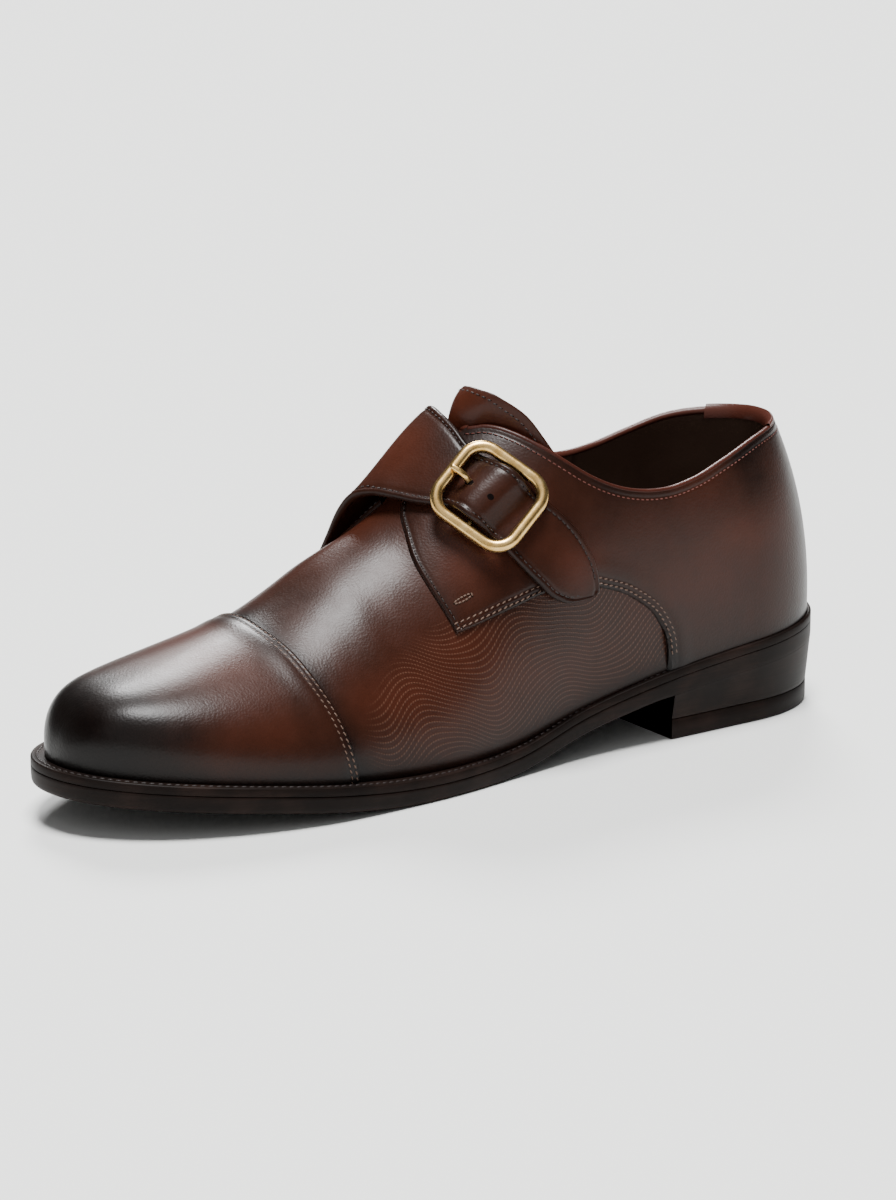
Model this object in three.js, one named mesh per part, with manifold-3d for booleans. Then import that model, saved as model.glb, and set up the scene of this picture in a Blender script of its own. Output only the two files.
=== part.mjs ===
// A left monk strap shoe: a leather upper over a last, on a welted leather sole with a stacked heel.
// Millimetres, +Z up, the toe towards -Y, the outer side of the foot towards +X.
import * as THREE from 'three';
import { mergeVertices } from 'three/addons/utils/BufferGeometryUtils.js';
import Module from 'manifold-3d';

const wasm = await Module();
wasm.setup();

// Sizes of the last
const lastLength = 296;
const ballWidth = 91;
const instepHeight = 100;
const heelHeight = 32.3;
const heelRound = 40;
const toeRound = 84;
const toeDrop = 62;
const backLean = 10;
const leanReach = 90;

// Sizes of the leather and of the sole
const gap = 0.3;
const seatGap = 0.45;
const upperWall = 2.2;
const overlayStep = 1.3;
const overlayRoot = 0.7;
const crestBand = 3;
const weltThickness = 3;
const weltInside = 9;
const soleThickness = 5.6;
const soleInset = 0.5;
const heelLength = 75;
const heelTaper = 1.4;
const liftThickness = 7;
const liftInset = 0.4;
const insoleThickness = 3;
const insoleClearance = 0.6;
const tongueThickness = 1.8;
const tongueRise = 13;
const tongueClearance = 0.7;
const tongueRun = 7;
const strapThickness = 2.6;
const strapRootThickness = 1.4;
const backStripThickness = 1.2;
const backStripWidth = 9;

// Sizes of the buckle
const buckleLength = 30.5;
const buckleWidth = 28.5;
const buckleCorner = 7.5;
const barRadius = 2.1;
const pinRadius = 0.9;
const pinDrop = 1.6;
const buckleStand = 5.1;
const prongRadius = 1.05;
const prongWall = 0.7;
const prongLoopWidth = 2.6;
const tabLength = 4.6;
const tabWidth = 14;
const tabThickness = 1.0;

// Steps of the meshes
const stationSteps = 38;
const wallRows = 8;
const plateColumns = 4;
const tubeSides = 10;

// Sections of the last from heel to toe. at is a share of the length; lateral and medial are half widths,
// outerSwell and innerSwell the bulge of the side and crest the sideways shift of the top line, as shares
// of the ball width; floor is the height of the welt as a share of the heel height; height is that of the
// top line over the welt as a share of the instep height; power shapes the arch of the section.
const lastSections = [
  { at: 0.00, lateral: 0.363, medial: 0.363, outerSwell: 0.012, innerSwell: 0.020, crest: 0.000,
    floor: 1.000, height: 0.84, power: 1.02 },
  { at: 0.13, lateral: 0.370, medial: 0.355, outerSwell: 0.017, innerSwell: 0.030, crest: -0.006,
    floor: 0.896, height: 0.90, power: 0.86 },
  { at: 0.26, lateral: 0.390, medial: 0.302, outerSwell: 0.027, innerSwell: 0.070, crest: -0.016,
    floor: 0.761, height: 0.98, power: 0.80 },
  { at: 0.38, lateral: 0.399, medial: 0.263, outerSwell: 0.042, innerSwell: 0.121, crest: -0.040,
    floor: 0.538, height: 1.05, power: 0.82 },
  { at: 0.48, lateral: 0.435, medial: 0.293, outerSwell: 0.042, innerSwell: 0.109, crest: -0.063,
    floor: 0.308, height: 0.97, power: 0.97 },
  { at: 0.57, lateral: 0.477, medial: 0.370, outerSwell: 0.035, innerSwell: 0.082, crest: -0.070,
    floor: 0.263, height: 0.75, power: 1.10 },
  { at: 0.655, lateral: 0.495, medial: 0.454, outerSwell: 0.030, innerSwell: 0.048, crest: -0.065,
    floor: 0.288, height: 0.62, power: 1.14 },
  { at: 0.735, lateral: 0.507, medial: 0.494, outerSwell: 0.025, innerSwell: 0.025, crest: -0.042,
    floor: 0.370, height: 0.463, power: 1.10 },
  { at: 0.82, lateral: 0.500, medial: 0.477, outerSwell: 0.021, innerSwell: 0.016, crest: -0.018,
    floor: 0.470, height: 0.358, power: 0.97 },
  { at: 0.91, lateral: 0.488, medial: 0.446, outerSwell: 0.016, innerSwell: 0.014, crest: -0.008,
    floor: 0.559, height: 0.322, power: 0.76 },
  { at: 1.00, lateral: 0.476, medial: 0.418, outerSwell: 0.011, innerSwell: 0.011, crest: 0.000,
    floor: 0.639, height: 0.385, power: 0.56 },
];

// Width of the welt beyond the upper, in millimetres, along the length.
const weltMargins = [
  { at: 0.0, width: 3.0 }, { at: 0.2, width: 2.5 }, { at: 0.36, width: 2.0 }, { at: 0.5, width: 3.5 },
  { at: 0.62, width: 5.0 }, { at: 0.8, width: 5.0 }, { at: 1.0, width: 6.0 },
];

// Height of the top edge over the welt, as a share of the instep height.
const topEdge = [
  { at: 0.00, height: 0.668 }, { at: 0.10, height: 0.668 }, { at: 0.16, height: 0.643 },
  { at: 0.21, height: 0.623 }, { at: 0.255, height: 0.625 }, { at: 0.29, height: 0.650 },
  { at: 0.335, height: 0.714 }, { at: 0.365, height: 0.781 }, { at: 0.385, height: 0.838 },
  { at: 0.4085, height: 0.909 }, { at: 0.4276, height: 0.961 }, { at: 0.4361, height: 0.979 },
  { at: 0.4453, height: 0.990 }, { at: 0.4592, height: 0.990 }, { at: 0.470, height: 0.990 },
];

// Seams in side view: at is a share of the length, rise a share of the instep height over the floor.
const capSeam = [
  { at: 0.700, rise: -0.10 }, { at: 0.706, rise: 0.12 }, { at: 0.712, rise: 0.19 },
  { at: 0.718, rise: 0.27 }, { at: 0.725, rise: 0.36 }, { at: 0.733, rise: 0.44 },
  { at: 0.740, rise: 0.51 }, { at: 0.748, rise: 0.56 }, { at: 0.756, rise: 0.90 },
];
const outerQuarterSeam = [
  { at: 0.540, rise: 1.50 }, { at: 0.541, rise: 0.95 }, { at: 0.546, rise: 0.89 },
  { at: 0.556, rise: 0.855 }, { at: 0.566, rise: 0.80 }, { at: 0.570, rise: 0.73 },
  { at: 0.568, rise: 0.643 }, { at: 0.562, rise: 0.575 }, { at: 0.555, rise: 0.513 },
  { at: 0.495, rise: 0.558 }, { at: 0.439, rise: 0.604 }, { at: 0.392, rise: 0.610 },
  { at: 0.359, rise: 0.586 }, { at: 0.317, rise: 0.532 }, { at: 0.277, rise: 0.428 },
  { at: 0.263, rise: 0.339 }, { at: 0.258, rise: 0.10 },
];
const innerQuarterSeam = [
  { at: 0.438, rise: 1.50 }, { at: 0.440, rise: 0.970 }, { at: 0.448, rise: 0.935 },
  { at: 0.500, rise: 0.815 }, { at: 0.560, rise: 0.675 }, { at: 0.592, rise: 0.605 },
  { at: 0.612, rise: 0.530 }, { at: 0.622, rise: 0.455 }, { at: 0.560, rise: 0.510 },
  { at: 0.490, rise: 0.575 }, { at: 0.430, rise: 0.615 }, { at: 0.375, rise: 0.620 },
  { at: 0.330, rise: 0.570 }, { at: 0.295, rise: 0.450 }, { at: 0.278, rise: 0.340 },
  { at: 0.272, rise: 0.10 },
];

// The strap from its root on the inner side to its tip. girth runs from -1 at the inner welt over the
// crest at 0 to 1 at the outer welt; upper and lower are the stations of its edges as shares of the
// length; lift is its height over the last in millimetres.
const strapRows = [
  { girth: -0.40, upper: 0.448, lower: 0.606, lift: 0.4 },
  { girth: -0.30, upper: 0.452, lower: 0.598, lift: 2.6 },
  { girth: -0.20, upper: 0.457, lower: 0.586, lift: 5.4 },
  { girth: -0.10, upper: 0.462, lower: 0.572, lift: 6.9 },
  { girth: 0.00, upper: 0.467, lower: 0.560, lift: 5.0 },
  { girth: 0.10, upper: 0.470, lower: 0.550, lift: 3.0 },
  { girth: 0.20, upper: 0.471, lower: 0.5375, lift: 2.2 },
  { girth: 0.26, upper: 0.466, lower: 0.526, lift: 2.1 },
  { girth: 0.29, upper: 0.4615, lower: 0.520, lift: 2.9 },
  { girth: 0.32, upper: 0.457, lower: 0.516, lift: 4.4 },
  { girth: 0.355, upper: 0.451, lower: 0.511, lift: 5.8 },
  { girth: 0.385, upper: 0.446, lower: 0.5075, lift: 6.1 },
  { girth: 0.415, upper: 0.4415, lower: 0.503, lift: 5.4 },
  { girth: 0.44, upper: 0.4375, lower: 0.499, lift: 3.7 },
  { girth: 0.47, upper: 0.4315, lower: 0.494, lift: 1.75 },
  { girth: 0.52, upper: 0.4205, lower: 0.4845, lift: 1.8 },
  { girth: 0.60, upper: 0.401, lower: 0.469, lift: 1.8 },
  { girth: 0.68, upper: 0.384, lower: 0.443, lift: 1.8 },
  { girth: 0.74, upper: 0.372, lower: 0.420, lift: 1.8 },
  { girth: 0.78, upper: 0.370, lower: 0.402, lift: 1.8 },
  { girth: 0.80, upper: 0.376, lower: 0.390, lift: 1.8 },
];

// The tongue: top is the station of its free edge, as a share of the length.
const tongueRows = [
  { girth: 0.00, top: 0.435 }, { girth: 0.06, top: 0.432 }, { girth: 0.13, top: 0.423 },
  { girth: 0.23, top: 0.409 }, { girth: 0.33, top: 0.397 }, { girth: 0.40, top: 0.388 },
];

// Places on the last, as shares of the length or as a girth. The back of the heel leans in over the
// share of the instep height that leanLevel gives; the strap reaches its full thickness over strapGrowth.
const leanLevel = 0.62;
const tongueRoot = 0.565;
const buckleGirth = 0.387;
const buckleShare = 0.479;
const strapGrowth = 0.2;
const backStripFoot = 0.40;
const backStripNarrow = 0.55;

// Cubic curve through the rows of a table, by the names of two columns; straight beyond its ends.
function smooth(rows, across, name) {
  const x = rows.map((row) => row[across]);
  const y = rows.map((row) => row[name]);
  const last = rows.length - 1;
  const rate = [];
  for (let i = 0; i < last; i += 1) rate.push((y[i + 1] - y[i]) / (x[i + 1] - x[i]));
  const slope = x.map((_, i) => {
    if (i === 0) return rate[0];
    if (i === last) return rate[last - 1];
    const before = x[i] - x[i - 1];
    const after = x[i + 1] - x[i];
    return (rate[i - 1] * after + rate[i] * before) / (before + after);
  });
  return (value) => {
    if (value < x[0]) return y[0] + slope[0] * (value - x[0]);
    if (value > x[last]) return y[last] + slope[last] * (value - x[last]);
    let i = 0;
    while (i < last - 1 && value > x[i + 1]) i += 1;
    const span = x[i + 1] - x[i];
    const t = (value - x[i]) / span;
    const start = (1 + 2 * t) * (1 - t) ** 2 * y[i] + t * (1 - t) ** 2 * span * slope[i];
    return start + t * t * (3 - 2 * t) * y[i + 1] + t * t * (t - 1) * span * slope[i + 1];
  };
}

function column(name) {
  return smooth(lastSections, 'at', name);
}

const halfWidthAt = { 1: column('lateral'), '-1': column('medial') };
const swellAt = { 1: column('outerSwell'), '-1': column('innerSwell') };
const crestAt = column('crest');
const floorShareAt = column('floor');
const heightAt = column('height');
const powerAt = column('power');
const marginAt = smooth(weltMargins, 'at', 'width');
const topEdgeAt = smooth(topEdge, 'at', 'height');

function clamp(value, low, high) {
  return Math.min(Math.max(value, low), high);
}

function rounding(distance, reach, power) {
  const left = clamp(1 - distance / reach, 0, 1);
  return (1 - left ** power) ** (1 / power);
}

// How far the plan is closed in at the two ends, from 0 at the very end to 1.
function endRounding(share) {
  const heelPower = 2.2;
  const toePower = 2.05;
  const station = share * lastLength;
  return rounding(station, heelRound, heelPower) * rounding(lastLength - station, toeRound, toePower);
}

function floorAt(share) {
  return floorShareAt(share) * heelHeight;
}

// The middle of the length of the sole is at y = 0.
const backMargin = marginAt(0);
const toeMargin = marginAt(1);
const heelY = (lastLength + toeMargin - backMargin) / 2;

function crestHeight(share, outset) {
  const dropPower = 2.1;
  const drop = rounding((1 - share) * lastLength, toeDrop, dropPower);
  return (heightAt(share) * instepHeight + outset) * drop;
}

// A point of the last, or of a form that is larger than it by outset. up is 0 at the welt, 1 at the crest.
function formPoint(share, up, side, outset) {
  const turn = clamp(up, 0, 1) * Math.PI / 2;
  const power = powerAt(share);
  const across = Math.max(Math.cos(turn), 0) ** power;
  const rise = Math.sin(turn) ** power * crestHeight(share, outset);
  const closing = endRounding(share);
  const bulge = 27 / 4 * up * (1 - up) ** 2 * Math.sqrt(closing);
  const half = (halfWidthAt[side](share) * ballWidth + outset) * closing
    + swellAt[side](share) * ballWidth * bulge;
  const leanPower = 2.2;
  const fade = clamp(1 - share * lastLength / leanReach, 0, 1) ** 2;
  const lean = backLean * (rise / (leanLevel * instepHeight)) ** leanPower * fade;
  const station = share * (lastLength + 2 * outset) - outset;
  const x = side * half * across + crestAt(share) * ballWidth * (1 - across);
  return new THREE.Vector3(x, heelY - station - lean, floorAt(station / lastLength) + seatGap + rise);
}

// How far up the section the top edge lies; 1 where the upper closes over the instep.
function topEdgeUp(share) {
  if (share > topEdge[topEdge.length - 1].at) return 1;
  const level = clamp(topEdgeAt(share) * instepHeight / crestHeight(share, 0), 0, 1);
  return Math.asin(level ** (1 / powerAt(share))) * 2 / Math.PI;
}

// The station of the front of the opening at a girth, as a share of the length.
function throatShare(girth) {
  let back = 0.3;
  let front = topEdge[topEdge.length - 1].at;
  while (front - back > 1e-4) {
    const middle = (back + front) / 2;
    if (topEdgeUp(middle) < 1 - Math.abs(girth)) back = middle;
    else front = middle;
  }
  return front;
}

// A point at a height over the last, with girth from -1 at the inner welt to 1 at the outer welt.
function skinPoint(share, girth, height) {
  const step = 0.004;
  const spot = (s, g) => formPoint(s, 1 - Math.abs(g), g < 0 ? -1 : 1, 0);
  const along = spot(share + step, girth).sub(spot(share - step, girth));
  const around = spot(share, girth + step).sub(spot(share, girth - step));
  const normal = along.cross(around).normalize();
  return spot(share, girth).addScaledVector(normal, height);
}

// A triangle list that is merged into one closed mesh. Faces that shrink to a line are dropped.
class Faces {
  constructor() {
    this.points = [];
  }

  triangle(a, b, c) {
    this.points.push(a, b, c);
  }

  quad(a, b, c, d) {
    this.triangle(a, b, c);
    this.triangle(a, c, d);
  }

  geometry() {
    const raw = new THREE.BufferGeometry().setFromPoints(this.points);
    const merged = mergeVertices(raw, 1e-4);
    const index = merged.getIndex().array;
    const kept = [];
    for (let i = 0; i < index.length; i += 3) {
      const [a, b, c] = [index[i], index[i + 1], index[i + 2]];
      if (a !== b && b !== c && c !== a) kept.push(a, b, c);
    }
    merged.setIndex(kept);
    return merged;
  }
}

// A closed slab between two grids of points, the first above the second: rows x columns points up.
function slab(upper, lower) {
  const faces = new Faces();
  const rows = upper.length - 1;
  const columns = upper[0].length - 1;
  for (let i = 0; i < rows; i += 1) {
    for (let j = 0; j < columns; j += 1) {
      faces.quad(upper[i][j], upper[i + 1][j], upper[i + 1][j + 1], upper[i][j + 1]);
      faces.quad(lower[i][j], lower[i][j + 1], lower[i + 1][j + 1], lower[i + 1][j]);
    }
    faces.quad(upper[i][0], lower[i][0], lower[i + 1][0], upper[i + 1][0]);
    faces.quad(lower[i][columns], upper[i][columns], upper[i + 1][columns], lower[i + 1][columns]);
  }
  for (let j = 0; j < columns; j += 1) {
    faces.quad(upper[0][j], upper[0][j + 1], lower[0][j + 1], lower[0][j]);
    faces.quad(upper[rows][j + 1], upper[rows][j], lower[rows][j], lower[rows][j + 1]);
  }
  return faces.geometry();
}

// A closed tube through rings of points; a closed path joins its last ring to its first.
function ringTube(rings, closed) {
  const faces = new Faces();
  const sides = rings[0].length;
  const count = closed ? rings.length : rings.length - 1;
  for (let i = 0; i < count; i += 1) {
    const here = rings[i];
    const next = rings[(i + 1) % rings.length];
    for (let j = 0; j < sides; j += 1) {
      const k = (j + 1) % sides;
      faces.quad(here[j], here[k], next[k], next[j]);
    }
  }
  if (!closed) {
    const end = rings[rings.length - 1];
    for (let j = 1; j < sides - 1; j += 1) {
      faces.triangle(rings[0][0], rings[0][j + 1], rings[0][j]);
      faces.triangle(end[0], end[j], end[j + 1]);
    }
  }
  return faces.geometry();
}

// A solid that can be joined and cut, from a closed mesh whose equal points are made one.
function toSolid(geometry) {
  const bare = geometry.clone();
  bare.deleteAttribute('normal');
  bare.deleteAttribute('uv');
  const merged = mergeVertices(bare, 1e-4);
  const mesh = new wasm.Mesh({
    numProp: 3,
    vertProperties: new Float32Array(merged.getAttribute('position').array),
    triVerts: new Uint32Array(merged.getIndex().array),
  });
  return new wasm.Manifold(mesh);
}

function toGeometry(solid) {
  const mesh = solid.getMesh();
  const geometry = new THREE.BufferGeometry();
  geometry.setAttribute('position', new THREE.BufferAttribute(new Float32Array(mesh.vertProperties), 3));
  geometry.setIndex(new THREE.BufferAttribute(new Uint32Array(mesh.triVerts), 1));
  return geometry;
}

// The largest body of a solid, without the specks and the slivers that nearly touching faces leave.
function largest(solid) {
  const sliver = 0.01;
  return solid.decompose().sort((a, b) => b.volume() - a.volume())[0].simplify(sliver);
}

// A block that fills a side-view outline between two values of x.
function sideBlock(outline, lowX, highX) {
  const corners = outline.map((point) => new THREE.Vector2(heelY - point.s, point.z));
  const block = new THREE.ExtrudeGeometry(new THREE.Shape(corners), {
    depth: highX - lowX, bevelEnabled: false,
  });
  const turn = new THREE.Matrix4().makeBasis(
    new THREE.Vector3(0, 1, 0), new THREE.Vector3(0, 0, 1), new THREE.Vector3(1, 0, 0));
  block.applyMatrix4(turn);
  return block.translate(lowX, 0, 0);
}

function seamOutline(seam, ends) {
  return seam.map((row) => ({ s: row.at * lastLength, z: row.rise * instepHeight })).concat(ends);
}

// Stations crowd at the two ends, and follow the top edge round the front of the opening.
function stationShares() {
  const throatSteps = 10;
  const sideGirth = 0.5;
  const apart = 0.005;
  const girths = Array.from({ length: throatSteps + 1 }, (_, i) => sideGirth * i / throatSteps);
  const shares = girths.map(throatShare);
  const [front, back] = [shares[0], shares[throatSteps]];
  for (let i = 0; i <= stationSteps; i += 1) {
    const share = (1 - Math.cos(Math.PI * i / stationSteps)) / 2;
    if (share < back - apart || share > front + apart) shares.push(share);
  }
  return shares.sort((a, b) => a - b);
}

// A shell of the last between two forms, open at the collar and underneath.
function shell(outer, inner) {
  const faces = new Faces();
  const shares = stationShares();
  for (const side of [1, -1]) {
    const column = (share, outset) => Array.from({ length: wallRows + 1 }, (_, j) => (
      formPoint(share, topEdgeUp(share) * j / wallRows, side, outset)));
    const grids = [outer, inner].map((outset) => shares.map((share) => column(share, outset)));
    const flip = (a, b, c, d) => (side > 0 ? faces.quad(a, b, c, d) : faces.quad(d, c, b, a));
    for (let i = 0; i < shares.length - 1; i += 1) {
      const [a, b, c, d] = [grids[0][i], grids[0][i + 1], grids[1][i], grids[1][i + 1]];
      for (let j = 0; j < wallRows; j += 1) {
        flip(a[j], a[j + 1], b[j + 1], b[j]);
        flip(c[j], d[j], d[j + 1], c[j + 1]);
      }
      flip(c[0], a[0], b[0], d[0]);
      if (topEdgeUp(shares[i]) < 1) flip(a[wallRows], c[wallRows], d[wallRows], b[wallRows]);
    }
  }
  return faces.geometry();
}

// Upper: one wall over the last, with the toe cap and the quarters as steps in it.
function makeUpper() {
  const wide = ballWidth;
  const high = 1.5 * instepHeight;
  const low = 0.1 * instepHeight;
  const behind = -0.1 * lastLength;
  const beyond = 1.1 * lastLength;
  const backReach = 0.2 * lastLength;
  const vamp = toSolid(shell(0, -upperWall));
  const layer = toSolid(shell(overlayStep, -overlayRoot));
  const beyondToe = [{ s: beyond, z: high }, { s: beyond, z: -low }];
  const behindHeel = [{ s: behind, z: low }, { s: behind, z: high }];
  const cap = toSolid(sideBlock(seamOutline(capSeam, beyondToe).reverse(), -wide, wide));
  const crest = crestAt(0.5) * ballWidth;
  const outerBlock = sideBlock(seamOutline(outerQuarterSeam, behindHeel), crest + crestBand, wide);
  const innerBlock = sideBlock(seamOutline(innerQuarterSeam, behindHeel), -wide, crest - crestBand);
  const backBlock = sideBlock([
    { s: backReach, z: 0 }, { s: backReach, z: high }, { s: behind, z: high }, { s: behind, z: 0 },
  ], -wide, wide);
  const overlays = cap.add(toSolid(outerBlock)).add(toSolid(innerBlock)).add(toSolid(backBlock));
  return toGeometry(largest(vamp.add(layer.intersect(overlays))));
}

// A point of the outline of the sole: the edge of the last moved outwards. turn runs from 0 to 1.
function outlinePoint(turn, side, outwards) {
  const shareOf = (t) => (1 - Math.cos(Math.PI * t)) / 2;
  const plan = (t) => {
    const share = shareOf(t);
    const half = halfWidthAt[side](share) * ballWidth * endRounding(share);
    return new THREE.Vector2(side * half, share * lastLength);
  };
  const step = 1e-3;
  const ahead = plan(Math.min(turn + step, 1));
  const tangent = ahead.sub(plan(Math.max(turn - step, 0)));
  if (turn < step || turn > 1 - step) tangent.y = 0;
  tangent.normalize();
  const outward = new THREE.Vector2(side * tangent.y, -side * tangent.x);
  return plan(turn).addScaledVector(outward, outwards(shareOf(turn)));
}

function plateGrid(lastTurn, outwards, heightOf) {
  const grid = [];
  const steps = Math.ceil(stationSteps * lastTurn);
  for (let i = 0; i <= steps; i += 1) {
    const turn = lastTurn * i / steps;
    const inner = outlinePoint(turn, -1, outwards);
    const outer = outlinePoint(turn, 1, outwards);
    const row = [];
    for (let j = 0; j <= plateColumns; j += 1) {
      const place = inner.clone().lerp(outer, j / plateColumns);
      row.push(new THREE.Vector3(place.x, heelY - place.y, heightOf(place.y / lastLength)));
    }
    grid.push(row);
  }
  return grid;
}

function plate(lastTurn, topOutline, topHeight, bottomOutline, bottomHeight) {
  return slab(plateGrid(lastTurn, topOutline, topHeight), plateGrid(lastTurn, bottomOutline, bottomHeight));
}

function soleTop(share) {
  return floorAt(share) - weltThickness - gap;
}

function soleBottom(share) {
  return Math.max(soleTop(share) - soleThickness, 0);
}

function makeOutsole() {
  const outline = (share) => marginAt(share) - soleInset;
  return plate(1, outline, soleTop, outline, soleBottom);
}

function makeInsole() {
  const outline = () => -upperWall - insoleClearance;
  const bottom = (share) => floorAt(share) + seatGap;
  return plate(1, outline, (share) => bottom(share) + insoleThickness, outline, bottom);
}

// Welt: a ring under the edge of the upper, with its outer edge proud of the sole.
function makeWelt() {
  const rings = [];
  const ring = (turn, side) => {
    const outer = outlinePoint(turn, side, marginAt);
    const inner = outlinePoint(turn, side, () => -weltInside);
    const corner = (place, drop) => new THREE.Vector3(
      place.x, heelY - place.y, floorAt(place.y / lastLength) - drop);
    return [corner(outer, 0), corner(inner, 0), corner(inner, weltThickness), corner(outer, weltThickness)];
  };
  for (let i = 0; i <= stationSteps; i += 1) rings.push(ring(i / stationSteps, 1));
  for (let i = stationSteps - 1; i > 0; i -= 1) rings.push(ring(i / stationSteps, -1));
  return ringTube(rings, true);
}

const breastTurn = Math.acos(1 - 2 * heelLength / lastLength) / Math.PI;

function makeHeelStack() {
  const top = (share) => marginAt(share) - soleInset;
  const bottom = (share) => top(share) - heelTaper;
  return plate(breastTurn, top, (share) => soleBottom(share) - gap, bottom, () => liftThickness + gap);
}

function makeTopLift() {
  const outline = (share) => marginAt(share) - soleInset - heelTaper + liftInset;
  return plate(breastTurn, outline, () => liftThickness, outline, () => 0);
}

// Strap: a band over the instep that lifts over the tongue and through the buckle.
function strapGrid(height) {
  const acrossSteps = 5;
  const upperAt = smooth(strapRows, 'girth', 'upper');
  const lowerAt = smooth(strapRows, 'girth', 'lower');
  const liftAt = smooth(strapRows, 'girth', 'lift');
  const root = strapRows[0].girth;
  const girths = strapRows.flatMap((row, i) => {
    const before = strapRows[Math.max(i - 1, 0)].girth;
    return i ? [(before + row.girth) / 2, row.girth] : [root];
  });
  const grid = [];
  for (const girth of girths) {
    const row = [];
    for (let j = 0; j <= acrossSteps; j += 1) {
      const share = lowerAt(girth) + (upperAt(girth) - lowerAt(girth)) * j / acrossSteps;
      const thickness = strapRootThickness
        + (strapThickness - strapRootThickness) * clamp((girth - root) / strapGrowth, 0, 1);
      row.push(skinPoint(share, girth, liftAt(girth) + height * thickness));
    }
    grid.push(row);
  }
  return grid;
}

// The buckle's own axes: along the strap, across it, and away from the foot.
function buckleAxes() {
  const middle = (girth) => {
    const row = ['upper', 'lower'].map((name) => smooth(strapRows, 'girth', name)(girth));
    return (row[0] + row[1]) / 2;
  };
  const reach = 0.12;
  const seat = skinPoint(buckleShare, buckleGirth, 0);
  const out = skinPoint(buckleShare, buckleGirth, 1).sub(seat);
  const before = skinPoint(middle(buckleGirth - reach), buckleGirth - reach, 0);
  const along = skinPoint(middle(buckleGirth + reach), buckleGirth + reach, 0).sub(before);
  along.addScaledVector(out, -along.dot(out)).normalize();
  const across = out.clone().cross(along);
  const origin = seat.addScaledVector(out, buckleStand);
  return new THREE.Matrix4().makeBasis(along, across, out).setPosition(origin);
}

const buckle = buckleAxes();

function circleRing(centre, first, second, radius) {
  return Array.from({ length: tubeSides }, (_, k) => {
    const angle = 2 * Math.PI * k / tubeSides;
    return centre.clone().addScaledVector(first, radius * Math.cos(angle))
      .addScaledVector(second, radius * Math.sin(angle));
  });
}

// The centre line of the frame: a rectangle with round corners.
function framePath() {
  const path = [];
  const cornerSteps = 6;
  const reachX = buckleLength / 2 - buckleCorner;
  const reachY = buckleWidth / 2 - buckleCorner;
  [[1, 1], [-1, 1], [-1, -1], [1, -1]].forEach(([sx, sy], corner) => {
    for (let i = 0; i <= cornerSteps; i += 1) {
      const angle = Math.PI / 2 * (corner + i / cornerSteps);
      const out = new THREE.Vector3(Math.cos(angle), Math.sin(angle), 0);
      const centre = new THREE.Vector3(sx * reachX, sy * reachY, 0);
      path.push({ point: centre.addScaledVector(out, buckleCorner), out });
    }
  });
  return path;
}

// A cylinder on the line of the centre bar, in the buckle's own axes.
function pinCylinder(radius, length) {
  const rings = [-length / 2, length / 2].map((y) => circleRing(
    new THREE.Vector3(0, y, -pinDrop), new THREE.Vector3(0, 0, 1), new THREE.Vector3(1, 0, 0), radius));
  return ringTube(rings, false);
}

function makeFrame() {
  const away = new THREE.Vector3(0, 0, 1);
  const rings = framePath().map(({ point, out }) => circleRing(point, away, out, barRadius));
  const frame = toSolid(ringTube(rings, true)).add(toSolid(pinCylinder(pinRadius, buckleWidth)));
  return toGeometry(frame).applyMatrix4(buckle);
}

// Prong: a loop round the centre bar and a rod that comes up through the strap onto the end bar.
const prongPath = [
  { along: -1.7, away: -1.35 }, { along: -4.4, away: -1.55 }, { along: -7.0, away: -0.9 },
  { along: -9.0, away: 1.1 }, { along: -10.6, away: 2.7 }, { along: -12.8, away: 3.4 },
  { along: -16.2, away: 3.45 },
];

function prongRings(radius) {
  const across = new THREE.Vector3(0, 1, 0);
  const places = prongPath.map((row) => new THREE.Vector3(row.along, 0, row.away));
  const curve = new THREE.CatmullRomCurve3(places);
  const steps = 12;
  return Array.from({ length: steps + 1 }, (_, i) => {
    const tangent = curve.getTangentAt(i / steps);
    return circleRing(curve.getPointAt(i / steps), across, tangent.clone().cross(across), radius);
  });
}

function makeProng() {
  const loopSides = 24;
  const hole = pinRadius + gap;
  const wall = hole + prongWall;
  const half = prongLoopWidth / 2;
  const profile = [[hole, -half], [wall, -half], [wall, half], [hole, half], [hole, -half]];
  const loop = new THREE.LatheGeometry(profile.map(([r, h]) => new THREE.Vector2(r, h)), loopSides);
  loop.translate(0, 0, -pinDrop);
  const rod = toSolid(ringTube(prongRings(prongRadius), false));
  const prong = rod.add(toSolid(loop)).subtract(toSolid(pinCylinder(hole, 2 * prongLoopWidth)));
  return toGeometry(prong).applyMatrix4(buckle);
}

function makeStrap() {
  const strap = toSolid(slab(strapGrid(1), strapGrid(0)));
  const hole = ringTube(prongRings(prongRadius + gap), false).applyMatrix4(buckle);
  return toGeometry(strap.subtract(toSolid(hole)));
}

// Tab: the leather on the quarter that holds the centre bar, cut away round the prong's loop.
function makeTab() {
  const steps = 4;
  const start = pinRadius + gap;
  const spot = (i, j) => new THREE.Vector3(start + tabLength * i / steps, tabWidth * (j / steps - 0.5), 0);
  const row = (i, height) => Array.from({ length: steps + 1 }, (_, j) => (
    dropToSkin(spot(i, j).applyMatrix4(buckle), overlayStep + gap + height)));
  const grid = (height) => Array.from({ length: steps + 1 }, (_, i) => row(i, height));
  const tab = toSolid(slab(grid(tabThickness), grid(0)));
  const notch = pinCylinder(pinRadius + 2 * gap + prongWall, prongLoopWidth + 2 * gap);
  return toGeometry(tab.subtract(toSolid(notch.applyMatrix4(buckle))));
}

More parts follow.
